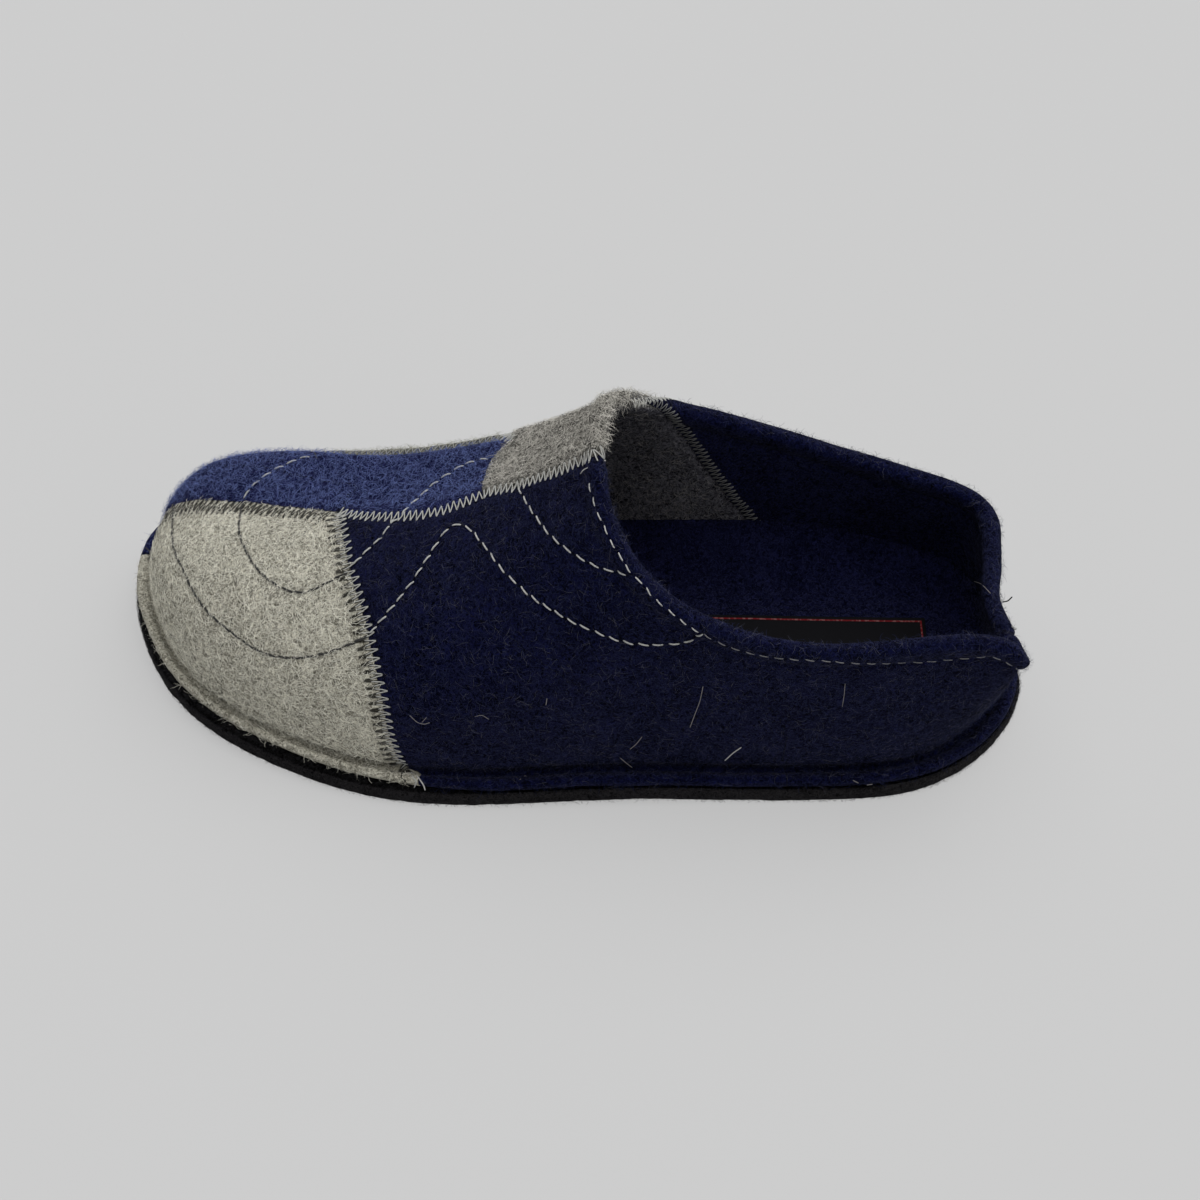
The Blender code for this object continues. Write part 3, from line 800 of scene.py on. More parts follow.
def shape_felt():
    """Moves the shell's points: swells, seams, dents, creases, and the flange's wavy edge."""
    flat = shell.points.reshape(-1, 3)
    normals = shell.normals.reshape(-1, 3)
    column = np.tile(np.arange(shell.columns), STATIONS)
    outer = (column >= shell.flange_rows) & (column <= shell.top_row)
    inner = column > shell.top_row
    wall = np.where(inner, -1.0, 1.0)
    swell = 0.34 * MM * soft_noise(flat, 26.0, 1) + 0.16 * MM * soft_noise(flat, 70.0, 2)
    lip = column < shell.flange_rows
    height = np.clip(grid_v / FULL_SWELL, 0.0, 1.0)
    move = normals * (swell * np.where(lip, 0.0, height) * wall)[:, None]
    fine = 0.07 * MM * soft_noise(flat, 330.0, 4)
    move += normals * fine[:, None]
    seam = seam_distance / MM
    pull = SEAM_PULL * np.exp(-((seam / SEAM_WIDTH) ** 2))
    pull = pull - SEAM_RIDGE * np.exp(-(((seam - RIDGE_PLACE) / RIDGE_WIDTH) ** 2))
    move -= normals * (pull * MM * np.where(lip, 0.0, 1.0))[:, None]
    move -= normals * (dent(foot_distance / MM, *FOOT_DENT) * (column <= shell.top_row))[:, None]
    move -= normals * (dent(notch_distance / MM, *NOTCH_DENT) * wall)[:, None]
    move -= normals * (dent(run_distance / MM, *RUN_DENT) * outer)[:, None]
    for pixels, width, depth in CREASES:
        distance = near_paths([even_path(smooth_path(cast_all(pixels)), 1.0 * MM)])[0]
        move -= normals * (dent(distance / MM, depth, width) * wall * np.where(lip, 0.0, height))[:, None]
    out = np.column_stack([np.repeat(shell.rings.out, shell.columns, axis=0), np.zeros(len(flat))])
    wave = soft_noise(flat, 55.0, 6) * 0.30 * MM + soft_noise(flat, 160.0, 7) * 0.14 * MM
    for pixel, reach, push in SWELLS:
        u, v = shell.cast(pixel)
        middle = shell.surface(np.array([[u, min(v, 1.0)]]))[0][0]
        near = np.exp(-((np.linalg.norm(flat - middle, axis=1) / MM / reach) ** 2))
        move += out * (near * push * MM)[:, None]
    edge = np.clip(-grid_v, 0.0, 1.0)
    trim = np.interp(grid_u, *np.array(LIP_TRIM).T) * MM
    move += out * ((wave - trim) * edge * lip)[:, None]
    lift = np.maximum(0.0, soft_noise(flat, 48.0, 8)) * LIP_LIFT * MM
    move[:, 2] += lift * edge * lip
    shell.points += move.reshape(shell.points.shape)
    shell.refresh()


shape_felt()


# ---- threads ----
class Threads:
    """Collects tubes along short polylines into one mesh."""

    SIDES = 6
    # How far the rounded ends stand out, and how thin they get, as shares of the radius
    END_REACH = 0.6
    END_SIZE = 0.35

    def __init__(self):
        self.points = []
        self.faces = []
        self.count = 0

    def tube(self, line, up, radius):
        """A tube along line with rounded ends; up is a direction away from the felt, one for each point."""
        line = np.asarray(line)
        tangent = np.gradient(line, axis=0)
        tangent /= np.linalg.norm(tangent, axis=1)[:, None]
        side = np.cross(tangent, up)
        side /= np.linalg.norm(side, axis=1)[:, None]
        lift = np.cross(side, tangent)
        first = line[:1] - tangent[:1] * radius * self.END_REACH
        last = line[-1:] + tangent[-1:] * radius * self.END_REACH
        line = np.vstack([first, line, last])
        side = np.vstack([side[:1], side, side[-1:]])
        lift = np.vstack([lift[:1], lift, lift[-1:]])
        size = np.full(len(line), radius)
        size[0] = size[-1] = radius * self.END_SIZE
        angle = np.arange(self.SIDES) / self.SIDES * 2.0 * math.pi
        ring = (
            line[:, None, :]
            + side[:, None, :] * (np.cos(angle)[None, :, None] * size[:, None, None])
            + lift[:, None, :] * (np.sin(angle)[None, :, None] * size[:, None, None])
        )
        rows = len(line)
        base = self.count
        self.points.append(ring.reshape(-1, 3))
        for i in range(rows - 1):
            for k in range(self.SIDES):
                n = (k + 1) % self.SIDES
                a = base + i * self.SIDES
                self.faces.append((a + k, a + n, a + n + self.SIDES, a + k + self.SIDES))
        self.faces.append(tuple(base + k for k in range(self.SIDES))[::-1])
        self.faces.append(tuple(base + (rows - 1) * self.SIDES + k for k in range(self.SIDES)))
        self.count += rows * self.SIDES

    def piece(self, name, material, slot="upper"):
        return add_mesh(name, np.concatenate(self.points), self.faces, [material])


def on_shell(spot):
    """The shell's point and normal nearest to a spot."""
    point, normal, _, _ = shell.tree.find_nearest(Vector(spot))
    return np.array(point), np.array(normal)


def outward(normal, like):
    return normal if normal @ like > 0.0 else -normal


# How deep a thread's ends go into the felt, how flat its arch is between them, and its points
END_DEPTH = 0.25 * MM
ARCH_POWER = 0.45
STRAND_POINTS = 7


def strand(threads, start, end, like, radius, lift, sinks=(0.0, 0.0)):
    """One thread over the felt from start to end, its two ends sunk in, and deeper still by sinks."""
    line, ups = [], []
    for share in np.linspace(0.0, 1.0, STRAND_POINTS):
        point, normal = on_shell(start + (end - start) * share)
        normal = outward(normal, like)
        height = -END_DEPTH + (lift + END_DEPTH) * math.sin(math.pi * share) ** ARCH_POWER
        height -= sinks[0] * (1.0 - share) + sinks[1] * share
        line.append(point + normal * height)
        ups.append(normal)
    threads.tube(line, np.array(ups), radius)


# How unevenly the holes of a zigzag lie across and along the seam, as shares of its reach and pitch
JITTER = 0.08
SLIP = 0.3


def zigzag(threads, seam, sewing, inner=False):
    """Zigzag seam along a path, on the outer face or on the inner one."""
    path = PATHS[seam.path]
    count = even_count(path[1], seam.pitch * MM / 2.0)
    wanted = np.linspace(0.0, path[1][-1], count + 1)
    uv = np.column_stack([np.interp(wanted, path[1], path[0][:, axis]) for axis in (0, 1)])
    if inner:
        uv = np.column_stack([uv[:, 0], 2.0 - uv[:, 1]])
    points, normals = shell.surface(uv)
    tangent = np.gradient(points, axis=0)
    tangent /= np.linalg.norm(tangent, axis=1)[:, None]
    left = np.cross(normals, tangent) * (-1.0 if inner else 1.0)
    signs = np.where(np.arange(len(points)) % 2 == 0, 1.0, -1.0)
    reach = seam.shift * MM + signs * seam.reach * MM * (1.0 + JITTER * rng.normal(size=len(points)))
    slip = rng.normal(size=len(points)) * JITTER * seam.pitch * MM * SLIP
    holes = points + left * reach[:, None] + tangent * slip[:, None]
    sinks = (sewing.left * MM, sewing.right * MM)
    for n in range(len(holes) - 1):
        ends = sinks if n % 2 == 0 else sinks[::-1]
        strand(threads, holes[n], holes[n + 1], normals[n], sewing.radius * MM, sewing.lift * MM, ends)


# A running stitch, in mm: length, pitch, radius, height over the felt, and how far its ends lie off the line
Stitch = namedtuple("Stitch", "length pitch radius lift tilt")
# How unevenly the stitches are tilted and spaced
TILT_SPREAD = 0.4
PITCH_SPREAD = 0.05


def running(threads, path, stitch, keep):
    """Running stitches along a path; keep says from the (u, v) whether a stitch belongs to these threads."""
    uv, way = path
    length, pitch, radius, lift, tilt = (value * MM for value in stitch)
    points, normals = shell.surface(uv)
    place = pitch * 0.5
    while place + length < way[-1]:
        n = np.interp([place, place + length], way, np.arange(len(way)))
        spot = uv[int(n.mean())]
        if keep(spot):
            steps = np.arange(len(way))
            ends = [np.array([np.interp(m, steps, points[:, a]) for a in range(3)]) for m in n]
            normal = normals[int(n.mean())]
            tangent = ends[1] - ends[0]
            side = np.cross(normal, tangent)
            side /= np.linalg.norm(side)
            lean = tilt * (1.0 + TILT_SPREAD * rng.normal())
            strand(threads, ends[0] + side * lean, ends[1] - side * lean, normal, radius, lift)
        place += pitch * (1.0 + PITCH_SPREAD * rng.normal())


def float_at(pixel, lift):
    """A place on the felt seen at a pixel, raised by lift, or beside the outline where the ray goes by."""
    way = pixel_ray(pixel)
    spot, _, face, _ = shell.tree.ray_cast(Vector(EYE), Vector(way))
    if spot is None:
        tries = [EYE + way * distance for distance in RAY_TRIES]
        return min(tries, key=lambda at: shell.tree.find_nearest(Vector(at))[3])
    normal = shell.normals.reshape(-1, 3)[face]
    return np.array(spot) + outward(normal, -way) * lift


def loose(threads, pixels, radius, lifts):
    """A loose thread or hair through pixels of the photograph; lifts give its height at the two ends."""
    spots = [float_at(pixel, lift) for pixel, lift in zip(pixels, np.linspace(*lifts, len(pixels)))]
    at = np.arange(len(spots))
    fine = np.linspace(0, len(spots) - 1, 6 * (len(spots) - 1) + 1)
    line = np.column_stack([np.interp(fine, at, np.array(spots)[:, axis]) for axis in range(3)])
    for _ in range(3):
        line[1:-1] = (line[:-2] + 2.0 * line[1:-1] + line[2:]) / 4.0
    threads.tube(line, np.tile(EYE / np.linalg.norm(EYE), (len(line), 1)), radius)


def region_at(spot):
    """The panel that a (u, v) lies in."""
    for name, ring in RINGS.items():
        if inside(np.array([spot]), ring)[0]:
            return name
    return "navy"


# ---- sole, footbed and label ----
def ladder(ring, height_at, steps):
    """Points across a ring, on rungs between its two sides, and the faces that cover it."""
    count = len(ring)
    rungs = count // 2
    shares = np.linspace(0.0, 1.0, steps + 1)
    i = np.arange(1, rungs)
    plan = ring[i][:, None, :] + shares[None, :, None] * (ring[count - i] - ring[i])[:, None, :]
    inner = plan[:, 1:-1]
    off_middle = np.broadcast_to(1.0 - 2.0 * shares[1:-1], inner.shape[:2])
    heights = height_at(inner, off_middle)
    points = np.concatenate([inner, heights[..., None]], axis=2).reshape(-1, 3)
    width = steps - 1

    def index(i, k):
        if i == 0 or i == rungs:
            return i
        if k == 0:
            return i
        if k == steps:
            return count - i
        return count + (i - 1) * width + k - 1

    faces = []
    for i in range(rungs):
        for k in range(steps):
            corners = [index(i, k), index(i, k + 1), index(i + 1, k + 1), index(i + 1, k)]
            faces.append(tuple(dict.fromkeys(corners)))
    return points, [f for f in faces if len(f) > 2]


def plate(levels, bottom_height, top_height, steps):
    """A closed solid: ring levels from bottom to top, covered by a ladder at each end."""
    count = len(levels[0])
    bottom_points, bottom_faces = ladder(levels[0][:, :2], bottom_height, steps)
    top_points, top_faces = ladder(levels[-1][:, :2], top_height, steps)
    faces = []
    for lower in range(0, (len(levels) - 1) * count, count):
        higher = lower + count
        for i in range(count):
            j = (i + 1) % count
            faces.append((lower + i, lower + j, higher + j, higher + i))
    first = len(levels) * count

    def shifted(face, ring_start, inner_start):
        return tuple(ring_start + n if n < count else inner_start + n - count for n in face)

    faces += [shifted(f, 0, first)[::-1] for f in bottom_faces]
    top_start = first + len(bottom_points)
    faces += [shifted(f, (len(levels) - 1) * count, top_start) for f in top_faces]
    return np.concatenate(list(levels) + [bottom_points, top_points]) - CENTRE, faces


SOLE_STATIONS = 560
SOLE_STEPS = 16
# The sole's edge from the floor up: how far it lies inside the outline, and its height, in mm
SOLE_SECTION = [
    (0.9, 0.0), (0.35, 0.15), (0.0, 0.8), (-0.1, 2.0), (0.0, 3.2), (0.0, 4.4), (0.2, 5.2), (0.8, 5.5),
]  # fmt: skip
# How ragged its lowest and highest level are, next to the others
END_ROUGH = 0.3


def make_sole(material):
    """Black felt sole; its cut edge is a little ragged, as felt that is trimmed after the stitching."""
    rings = Rings(np.arange(SOLE_STATIONS) / SOLE_STATIONS)
    levels = []
    for inset, height in SOLE_SECTION:
        plan = rings.edge - rings.out * inset * MM
        spots = np.column_stack([plan, np.full(len(plan), height * MM)])
        rough = 0.22 * MM * soft_noise(spots, 420.0, 3) + 0.18 * MM * soft_noise(spots, 110.0, 5)
        at_end = height in (SOLE_SECTION[0][1], SOLE_SECTION[-1][1])
        plan = plan + rings.out * (rough * (END_ROUGH if at_end else 1.0))[:, None]
        levels.append(np.column_stack([plan, floor_height(plan[:, 0]) + height * MM]))
    points, faces = plate(
        levels,
        lambda plan, off: floor_height(plan[..., 0]),
        lambda plan, off: sole_top(plan[..., 0]),
        SOLE_STEPS,
    )
    add_mesh("felt_sole", points, faces, [material], "outsole")


BED_STATIONS = 400
BED_STEPS = 40
# The side's levels, as shares of its height, and the rows of the wall that it is read from
BED_LEVELS = (0.2, 0.4, 0.6, 0.8, 0.92, 1.0)
BED_ROWS = (np.arange(24) + 0.4) / 23.4


def bed_middle(x):
    """Height of the footbed's middle line."""
    thickness = np.interp(x / SOLE_LENGTH, BED_THINS, (FOOTBED, TOE_BED))
    return sole_top(x) + GAP + thickness


def bed_shape():
    """The footbed's side, level by level, and the function that gives the height of its top."""
    count = BED_STATIONS
    rings = Rings(np.arange(count) / count)
    face, normals, _ = wall_points(rings, BED_ROWS, [])
    inset = FELT + BED_CLEARANCE
    foot_plan = rings.feather - rings.out * inset
    foot = np.column_stack([foot_plan, sole_top(foot_plan[:, 0]) + GAP])
    inner = np.concatenate([foot[:, None, :], face - normals * inset], axis=1)
    edge_height = bed_middle(rings.feather[:, 0]) + rings.bed * CUP_DEPTH
    levels = [foot]
    for share in BED_LEVELS:
        wanted = foot[:, 2] + share * (edge_height - foot[:, 2])
        rows = [
            [np.interp(height, points[:, 2], points[:, axis]) for axis in range(3)]
            for points, height in zip(inner, wanted)
        ]
        levels.append(np.array(rows))

    def top(plan, off):
        rungs = np.arange(1, count // 2)
        outer_edge = edge_height[rungs][:, None]
        inner_edge = edge_height[count - rungs][:, None]
        middle = bed_middle(plan[..., 0])
        edge = np.where(off > 0.0, outer_edge, inner_edge)
        return middle + (edge - middle) * np.abs(off) ** CUP_POWER

    return levels, top


def make_footbed(material):
    """Navy footbed; gives its points and faces, which the label lies on."""
    levels, top = bed_shape()
    points, faces = plate(levels, lambda plan, off: sole_top(plan[..., 0]) + GAP, top, BED_STEPS)
    add_mesh("felt_footbed", points, faces, [material], "insole")
    return points, faces


LABEL_RISE = 0.5 * MM
LABEL_GRID = (57, 21)


def make_label(material, bed_points, bed_faces):
    """Woven label on the footbed; label_x and label_y carry its own measures, in mm."""
    tree = BVHTree.FromPolygons(bed_points.tolist(), bed_faces)
    middle = np.array([LABEL_ALONG * SOLE_LENGTH, LABEL_ACROSS * HEEL_WIDTH / 2.0]) - CENTRE[:2]
    along = LABEL_LENGTH * np.linspace(-0.5, 0.5, LABEL_GRID[0])
    across = LABEL_WIDTH * np.linspace(-0.5, 0.5, LABEL_GRID[1])
    cos, sin = math.cos(LABEL_TURN), math.sin(LABEL_TURN)
    lower = []
    for x in along:
        for y in across:
            above = Vector((middle[0] + x * cos - y * sin, middle[1] + x * sin + y * cos, HEEL_WALL))
            lower.append(tuple(tree.ray_cast(above, Vector((0, 0, -1)))[0]))
    lower = np.array(lower) + (0.0, 0.0, GAP)
    top = lower + (0.0, 0.0, LABEL_RISE)
    columns = len(across)
    count = len(lower)
    quads = np.array(
        [
            (i * columns + k, i * columns + k + 1, (i + 1) * columns + k + 1, (i + 1) * columns + k)
            for i in range(len(along) - 1)
            for k in range(columns - 1)
        ]
    )
    rim = list(range(columns)) + [i * columns + columns - 1 for i in range(1, len(along))]
    rim += [(len(along) - 1) * columns + k for k in range(columns - 2, -1, -1)]
    rim += [i * columns for i in range(len(along) - 2, 0, -1)]
    sides = [(b, a, count + a, count + b) for a, b in zip(rim, rim[1:] + rim[:1])]
    faces = quads.tolist() + (quads[:, ::-1] + count).tolist() + sides
    points = np.concatenate([lower, top])
    piece = add_mesh("woven_label", points, faces, [material], "insole_label")
    place = np.array([(x, y) for x in along for y in across]) / MM
    set_attribute(piece, "label_x", np.tile(place[:, 0], 2))
    set_attribute(piece, "label_y", np.tile(place[:, 1], 2))


# ---- materials ----
class Nodes:
    """A small builder for a node material with one Principled shader."""

    def __init__(self, name):
        self.material = bpy.data.materials.new(name)
        self.material.use_nodes = True
        self.tree = self.material.node_tree
        self.shader = self.tree.nodes["Principled BSDF"]
        coordinates = self.tree.nodes.new("ShaderNodeTexCoord")
        self.place = coordinates.outputs["Object"]

    def link(self, source, target):
        if isinstance(source, (int, float)):
            target.default_value = source
        elif isinstance(source, tuple):
            target.default_value = (*source, 1.0) if target.type == "RGBA" else source
        else:
            self.tree.links.new(source, target)

    def math(self, operation, a, b=0.0, c=0.0, clamp=False):
        node = self.tree.nodes.new("ShaderNodeMath")
        node.operation = operation
        node.use_clamp = clamp
        for source, target in zip((a, b, c), node.inputs):
            self.link(source, target)
        return node.outputs[0]

    def off(self, value, middle=0.0):
        """How far a value is from the middle, without its sign."""
        return self.math("ABSOLUTE", self.math("SUBTRACT", value, middle))

    def sum(self, value, factor, start, clamp=False):
        """start + value * factor."""
        return self.math("MULTIPLY_ADD", value, factor, start, clamp)

    def noise(self, scale, detail=2.0, roughness=0.5, distortion=0.0, place=None):
        node = self.tree.nodes.new("ShaderNodeTexNoise")
        node.inputs["Scale"].default_value = scale
        node.inputs["Detail"].default_value = detail
        node.inputs["Roughness"].default_value = roughness
        node.inputs["Distortion"].default_value = distortion
        self.tree.links.new(place or self.place, node.inputs["Vector"])
        return node.outputs["Fac"]

    def moved(self, shift):
        """The place shifted, so that two noises don't fall together."""
        node = self.tree.nodes.new("ShaderNodeVectorMath")
        node.operation = "ADD"
        self.tree.links.new(self.place, node.inputs[0])
        node.inputs[1].default_value = shift
        return node.outputs[0]

    def ramp(self, value, low, high, to_low=0.0, to_high=1.0):
        node = self.tree.nodes.new("ShaderNodeMapRange")
        node.interpolation_type = "SMOOTHSTEP"
        for source, target in zip((value, low, high, to_low, to_high), node.inputs):
            self.link(source, target)
        return node.outputs[0]

    def mix(self, share, a, b):
        node = self.tree.nodes.new("ShaderNodeMix")
        node.data_type = "RGBA"
        self.link(share, node.inputs[0])
        self.link(a, node.inputs[6])
        self.link(b, node.inputs[7])
        return node.outputs[2]

    def shade(self, colour, factor):
        """A colour multiplied by a number."""
        node = self.tree.nodes.new("ShaderNodeVectorMath")
        node.operation = "SCALE"
        self.link(colour, node.inputs[0])
        self.link(factor, node.inputs["Scale"])
        return node.outputs[0]

    def attribute(self, name):
        node = self.tree.nodes.new("ShaderNodeAttribute")
        node.attribute_name = name
        return node.outputs["Fac"]

    def fibres(self, scale, width, shift, detail=2.0):
        """Thin curly lines, 1 on a fibre and 0 beside it: the level line of a noise."""
        value = self.noise(scale, detail, 0.55, 0.6, self.moved(shift))
        return self.ramp(self.off(value, 0.5), width, 0.0)

    def bump(self, height, strength, distance):
        node = self.tree.nodes.new("ShaderNodeBump")
        node.inputs["Strength"].default_value = strength
        node.inputs["Distance"].default_value = distance
        self.link(height, node.inputs["Height"])
        self.tree.links.new(node.outputs["Normal"], self.shader.inputs["Normal"])

    def finish(self, colour, roughness, sheen=0.0, sheen_roughness=0.5, tint=(1.0, 1.0, 1.0), specular=0.2):
        shader = self.shader
        self.link(colour, shader.inputs["Base Color"])
        shader.inputs["Roughness"].default_value = roughness
        self.link(sheen, shader.inputs["Sheen Weight"])
        shader.inputs["Sheen Roughness"].default_value = sheen_roughness
        shader.inputs["Sheen Tint"].default_value = (*tint, 1.0)
        shader.inputs["Specular IOR Level"].default_value = specular
        return self.material


# Dark and light fibre colours of each felt, linear
Felt = namedtuple("Felt", "dark light sheen")
FELTS = {
    "navy": Felt((0.0002, 0.0005, 0.0026), (0.0026, 0.0044, 0.0400), 0.045),
    "blue": Felt((0.0008, 0.0014, 0.0170), (0.0145, 0.0185, 0.0920), 0.05),
    "grey": Felt((0.1300, 0.1220, 0.0950), (0.7200, 0.6900, 0.5750), 0.06),
    "olive": Felt((0.0400, 0.0400, 0.0300), (0.2700, 0.2680, 0.2150), 0.08),
    "taupe": Felt((0.0060, 0.0055, 0.0050), (0.4500, 0.4300, 0.3800), 0.06),
}
# Fibre colours of the taupe on its inner face: darker, as painted shade inside the slipper
INNER_SHADE_DARK, INNER_SHADE_LIGHT = (0.0010, 0.0010, 0.0040), (0.1150, 0.1120, 0.1280)
# How deep the painted shade is in a zigzag's slits, between the felt's fingers, on each felt
SLIT_SHADE = {"navy": 0.55, "blue": 0.60, "grey": 0.90, "olive": 0.60, "taupe": 0.60}


# How much of the sheen's weight a light fibre gets
SHEEN_GAIN = 1.7
SHEEN_TINT = (0.88, 0.90, 1.0)


def felt_look(nodes):
    """The shared felt grain: a share from dark to light fibre, and the height for the bump."""
    mottle = nodes.noise(75.0, 3.0, 0.6)
    grain = nodes.noise(560.0, 5.0, 0.70, 2.2)
    light_a = nodes.fibres(300.0, 0.016, (0.0, 0.0, 0.0))
    light_b = nodes.fibres(460.0, 0.022, (3.1, 1.7, 0.4))
    dark_a = nodes.fibres(380.0, 0.024, (5.3, 2.9, 7.7))
    share = nodes.sum(nodes.math("SUBTRACT", grain, 0.5), 3.0, 0.42)
    share = nodes.sum(nodes.math("SUBTRACT", mottle, 0.5), 0.60, share)
    share = nodes.sum(light_a, 0.42, share)
    share = nodes.sum(light_b, 0.34, share)
    share = nodes.sum(dark_a, -0.40, share, True)
    return share, nodes.sum(nodes.noise(700.0, 5.0, 0.7), 0.8, share)


# The edge between two panels' colours: how far its fibres fray, and how soft it is, in mm
FRAY = 1.5
SOFT_EDGE = 0.225
# A zigzag's slits, from their rim to their middle, in mm, and the band of the seam that has them
SLIT_RIM, SLIT_MIDDLE = 0.62, 0.20
BAND_RIM, BAND_FULL = 1.15, 0.95
# How dark the butt joint is next to a slit; and the painted shade on the felt under a running stitch and in
# the groove
JOINT_DARK = 0.6
RUN_SHADE = 0.55
GROOVE_SHADE = {"navy": 0.60, "blue": 0.60, "grey": 0.80, "olive": 0.60, "taupe": 0.60}
# How deep slits and running stitches are in the bump, next to the grain
SLIT_DEPTH, RUN_DEPTH = 1.3, 1.4


def upper_material(own):
    """Felt of the upper: every panel's colour on its side of the seams; own gives the sheen, and the painted
    shade in the slits and the groove.
    """
    nodes = Nodes("felt_" + own)
    share, height = felt_look(nodes)
    dark, light = FELTS["navy"].dark, FELTS["navy"].light
    fray = nodes.math("MULTIPLY", nodes.math("SUBTRACT", nodes.noise(900.0, 3.0), 0.5), FRAY)
    for region in ("taupe", "olive", "blue", "grey"):
        distance = nodes.math("ADD", nodes.attribute("in_" + region), fray)
        here = nodes.ramp(distance, -SOFT_EDGE, SOFT_EDGE)
        dark_here, light_here = FELTS[region].dark, FELTS[region].light
        # On the inner face the taupe is darkened: painted shade inside the slipper
        if region == "taupe":
            dark_here = nodes.mix(nodes.attribute("inner"), dark_here, INNER_SHADE_DARK)
            light_here = nodes.mix(nodes.attribute("inner"), light_here, INNER_SHADE_LIGHT)
        dark = nodes.mix(here, dark, dark_here)
        light = nodes.mix(here, light, light_here)
    colour = nodes.mix(share, dark, light)
    # The zigzag's slits are darkened as painted shade between the felt's fingers; the butt joint is a dark
    # line of its own
    across = nodes.attribute("seam_across")
    swing = nodes.math("PINGPONG", nodes.attribute("seam_phase"), 1.0)
    off = nodes.off(swing, nodes.sum(across, -0.5, 0.5))
    slit = nodes.ramp(nodes.math("MULTIPLY", off, nodes.attribute("seam_half")), SLIT_RIM, SLIT_MIDDLE)
    band = nodes.ramp(nodes.math("ABSOLUTE", across), BAND_RIM, BAND_FULL)
    press = nodes.math("MULTIPLY", band, slit)
    joint = nodes.ramp(nodes.attribute("seam_off"), 0.55, 0.10)
    press = nodes.math("MAXIMUM", press, nodes.math("MULTIPLY", joint, JOINT_DARK))
    colour = nodes.shade(colour, nodes.sum(press, -SLIT_SHADE[own], 1.0))
    # The felt along a running stitch is darkened: painted shade of the groove that the stitch sinks into
    run_near = nodes.ramp(nodes.attribute("run_off"), 1.5, 0.9)
    run_line = nodes.ramp(nodes.math("ABSOLUTE", nodes.attribute("run_side")), 0.62, 0.15)
    line = nodes.math("MULTIPLY", run_near, run_line)
    colour = nodes.shade(colour, nodes.sum(line, -RUN_SHADE, 1.0))
    # The groove over the flange and the notch in the hem are darkened: painted shade in these recesses
    foot = nodes.ramp(nodes.attribute("foot_off"), 1.3, 0.2)
    notch = nodes.ramp(nodes.attribute("notch_off"), 1.1, 0.2)
    colour = nodes.shade(colour, nodes.sum(nodes.math("MAXIMUM", foot, notch), -GROOVE_SHADE[own], 1.0))
    height = nodes.sum(press, -SLIT_DEPTH, height)
    height = nodes.sum(line, -RUN_DEPTH, height)
    nodes.bump(height, 0.85, 0.40 * MM)
    sheen = nodes.math("MULTIPLY", share, SHEEN_GAIN * FELTS[own].sheen)
    return nodes.finish(colour, 0.95, sheen, 0.5, SHEEN_TINT, 0.03)


def felt_material(name, dark, light, sheen):
    """Felt of one colour, for the sole and the footbed."""
    nodes = Nodes(name)
    share, height = felt_look(nodes)
    nodes.bump(height, 0.8, 0.35 * MM)
    sheen = nodes.math("MULTIPLY", share, SHEEN_GAIN * sheen)
    return nodes.finish(nodes.mix(share, dark, light), 0.95, sheen, 0.5, SHEEN_TINT, 0.02)


def thread_material(name, colour):
    nodes = Nodes(name)
    value = nodes.noise(1800.0, 3.0, 0.6)
    nodes.bump(value, 0.5, 0.1 * MM)
    return nodes.finish(nodes.shade(colour, nodes.sum(value, 0.9, 0.55)), 0.7, 0.1, 0.4, specular=0.3)


def hair_material(name, colour):
    return Nodes(name).finish(colour, 0.85, specular=0.1)


# The label's weave, and where its sewn border runs and how wide it is, in mm
WEAVE_PITCH = (0.42, 0.30)
BORDER_INSET = 1.3
BORDER_RIM, BORDER_MIDDLE = 0.34, 0.18


def label_material():
    """Black satin weave with a thin red sewn border."""
    nodes = Nodes("woven_label")
    places = [nodes.attribute("label_x"), nodes.attribute("label_y")]
    halves = (LABEL_LENGTH / MM / 2.0, LABEL_WIDTH / MM / 2.0)
    waves, insets = [], []
    for place, pitch, half in zip(places, WEAVE_PITCH, halves):
        waves.append(nodes.math("SINE", nodes.math("MULTIPLY", place, 2.0 * math.pi / pitch)))
        insets.append(nodes.math("SUBTRACT", half, nodes.math("ABSOLUTE", place)))
    weave = nodes.sum(nodes.math("MULTIPLY", *waves), 0.5, 0.5)
    line = nodes.ramp(nodes.off(nodes.math("MINIMUM", *insets), BORDER_INSET), BORDER_RIM, BORDER_MIDDLE)
    sprinkle = nodes.ramp(nodes.noise(900.0, 2.0), 0.46, 0.62)
    red = nodes.mix(sprinkle, (0.115, 0.006, 0.009), (0.20, 0.075, 0.075))
    ground = nodes.mix(weave, (0.0022, 0.0022, 0.0030), (0.0060, 0.0060, 0.0075))
    nodes.bump(nodes.math("ADD", weave, line), 0.35, 0.12 * MM)
    return nodes.finish(nodes.mix(line, ground, red), 0.8, 0.0, 0.4, specular=0.08)


# ---- fuzz: loose fibres that stand a little off the felt ----
# A fibre's root goes this deep into the felt; its width at its four points, as shares; how much it turns
# over its length and wavers at each point; and how much its face is tilted
ROOT_DEPTH = 0.15 * MM
TAPER = np.array([1.0, 1.0, 0.75, 0.3])
TURN, WAVER, FACE_TILT = 0.9, 0.25, 0.6


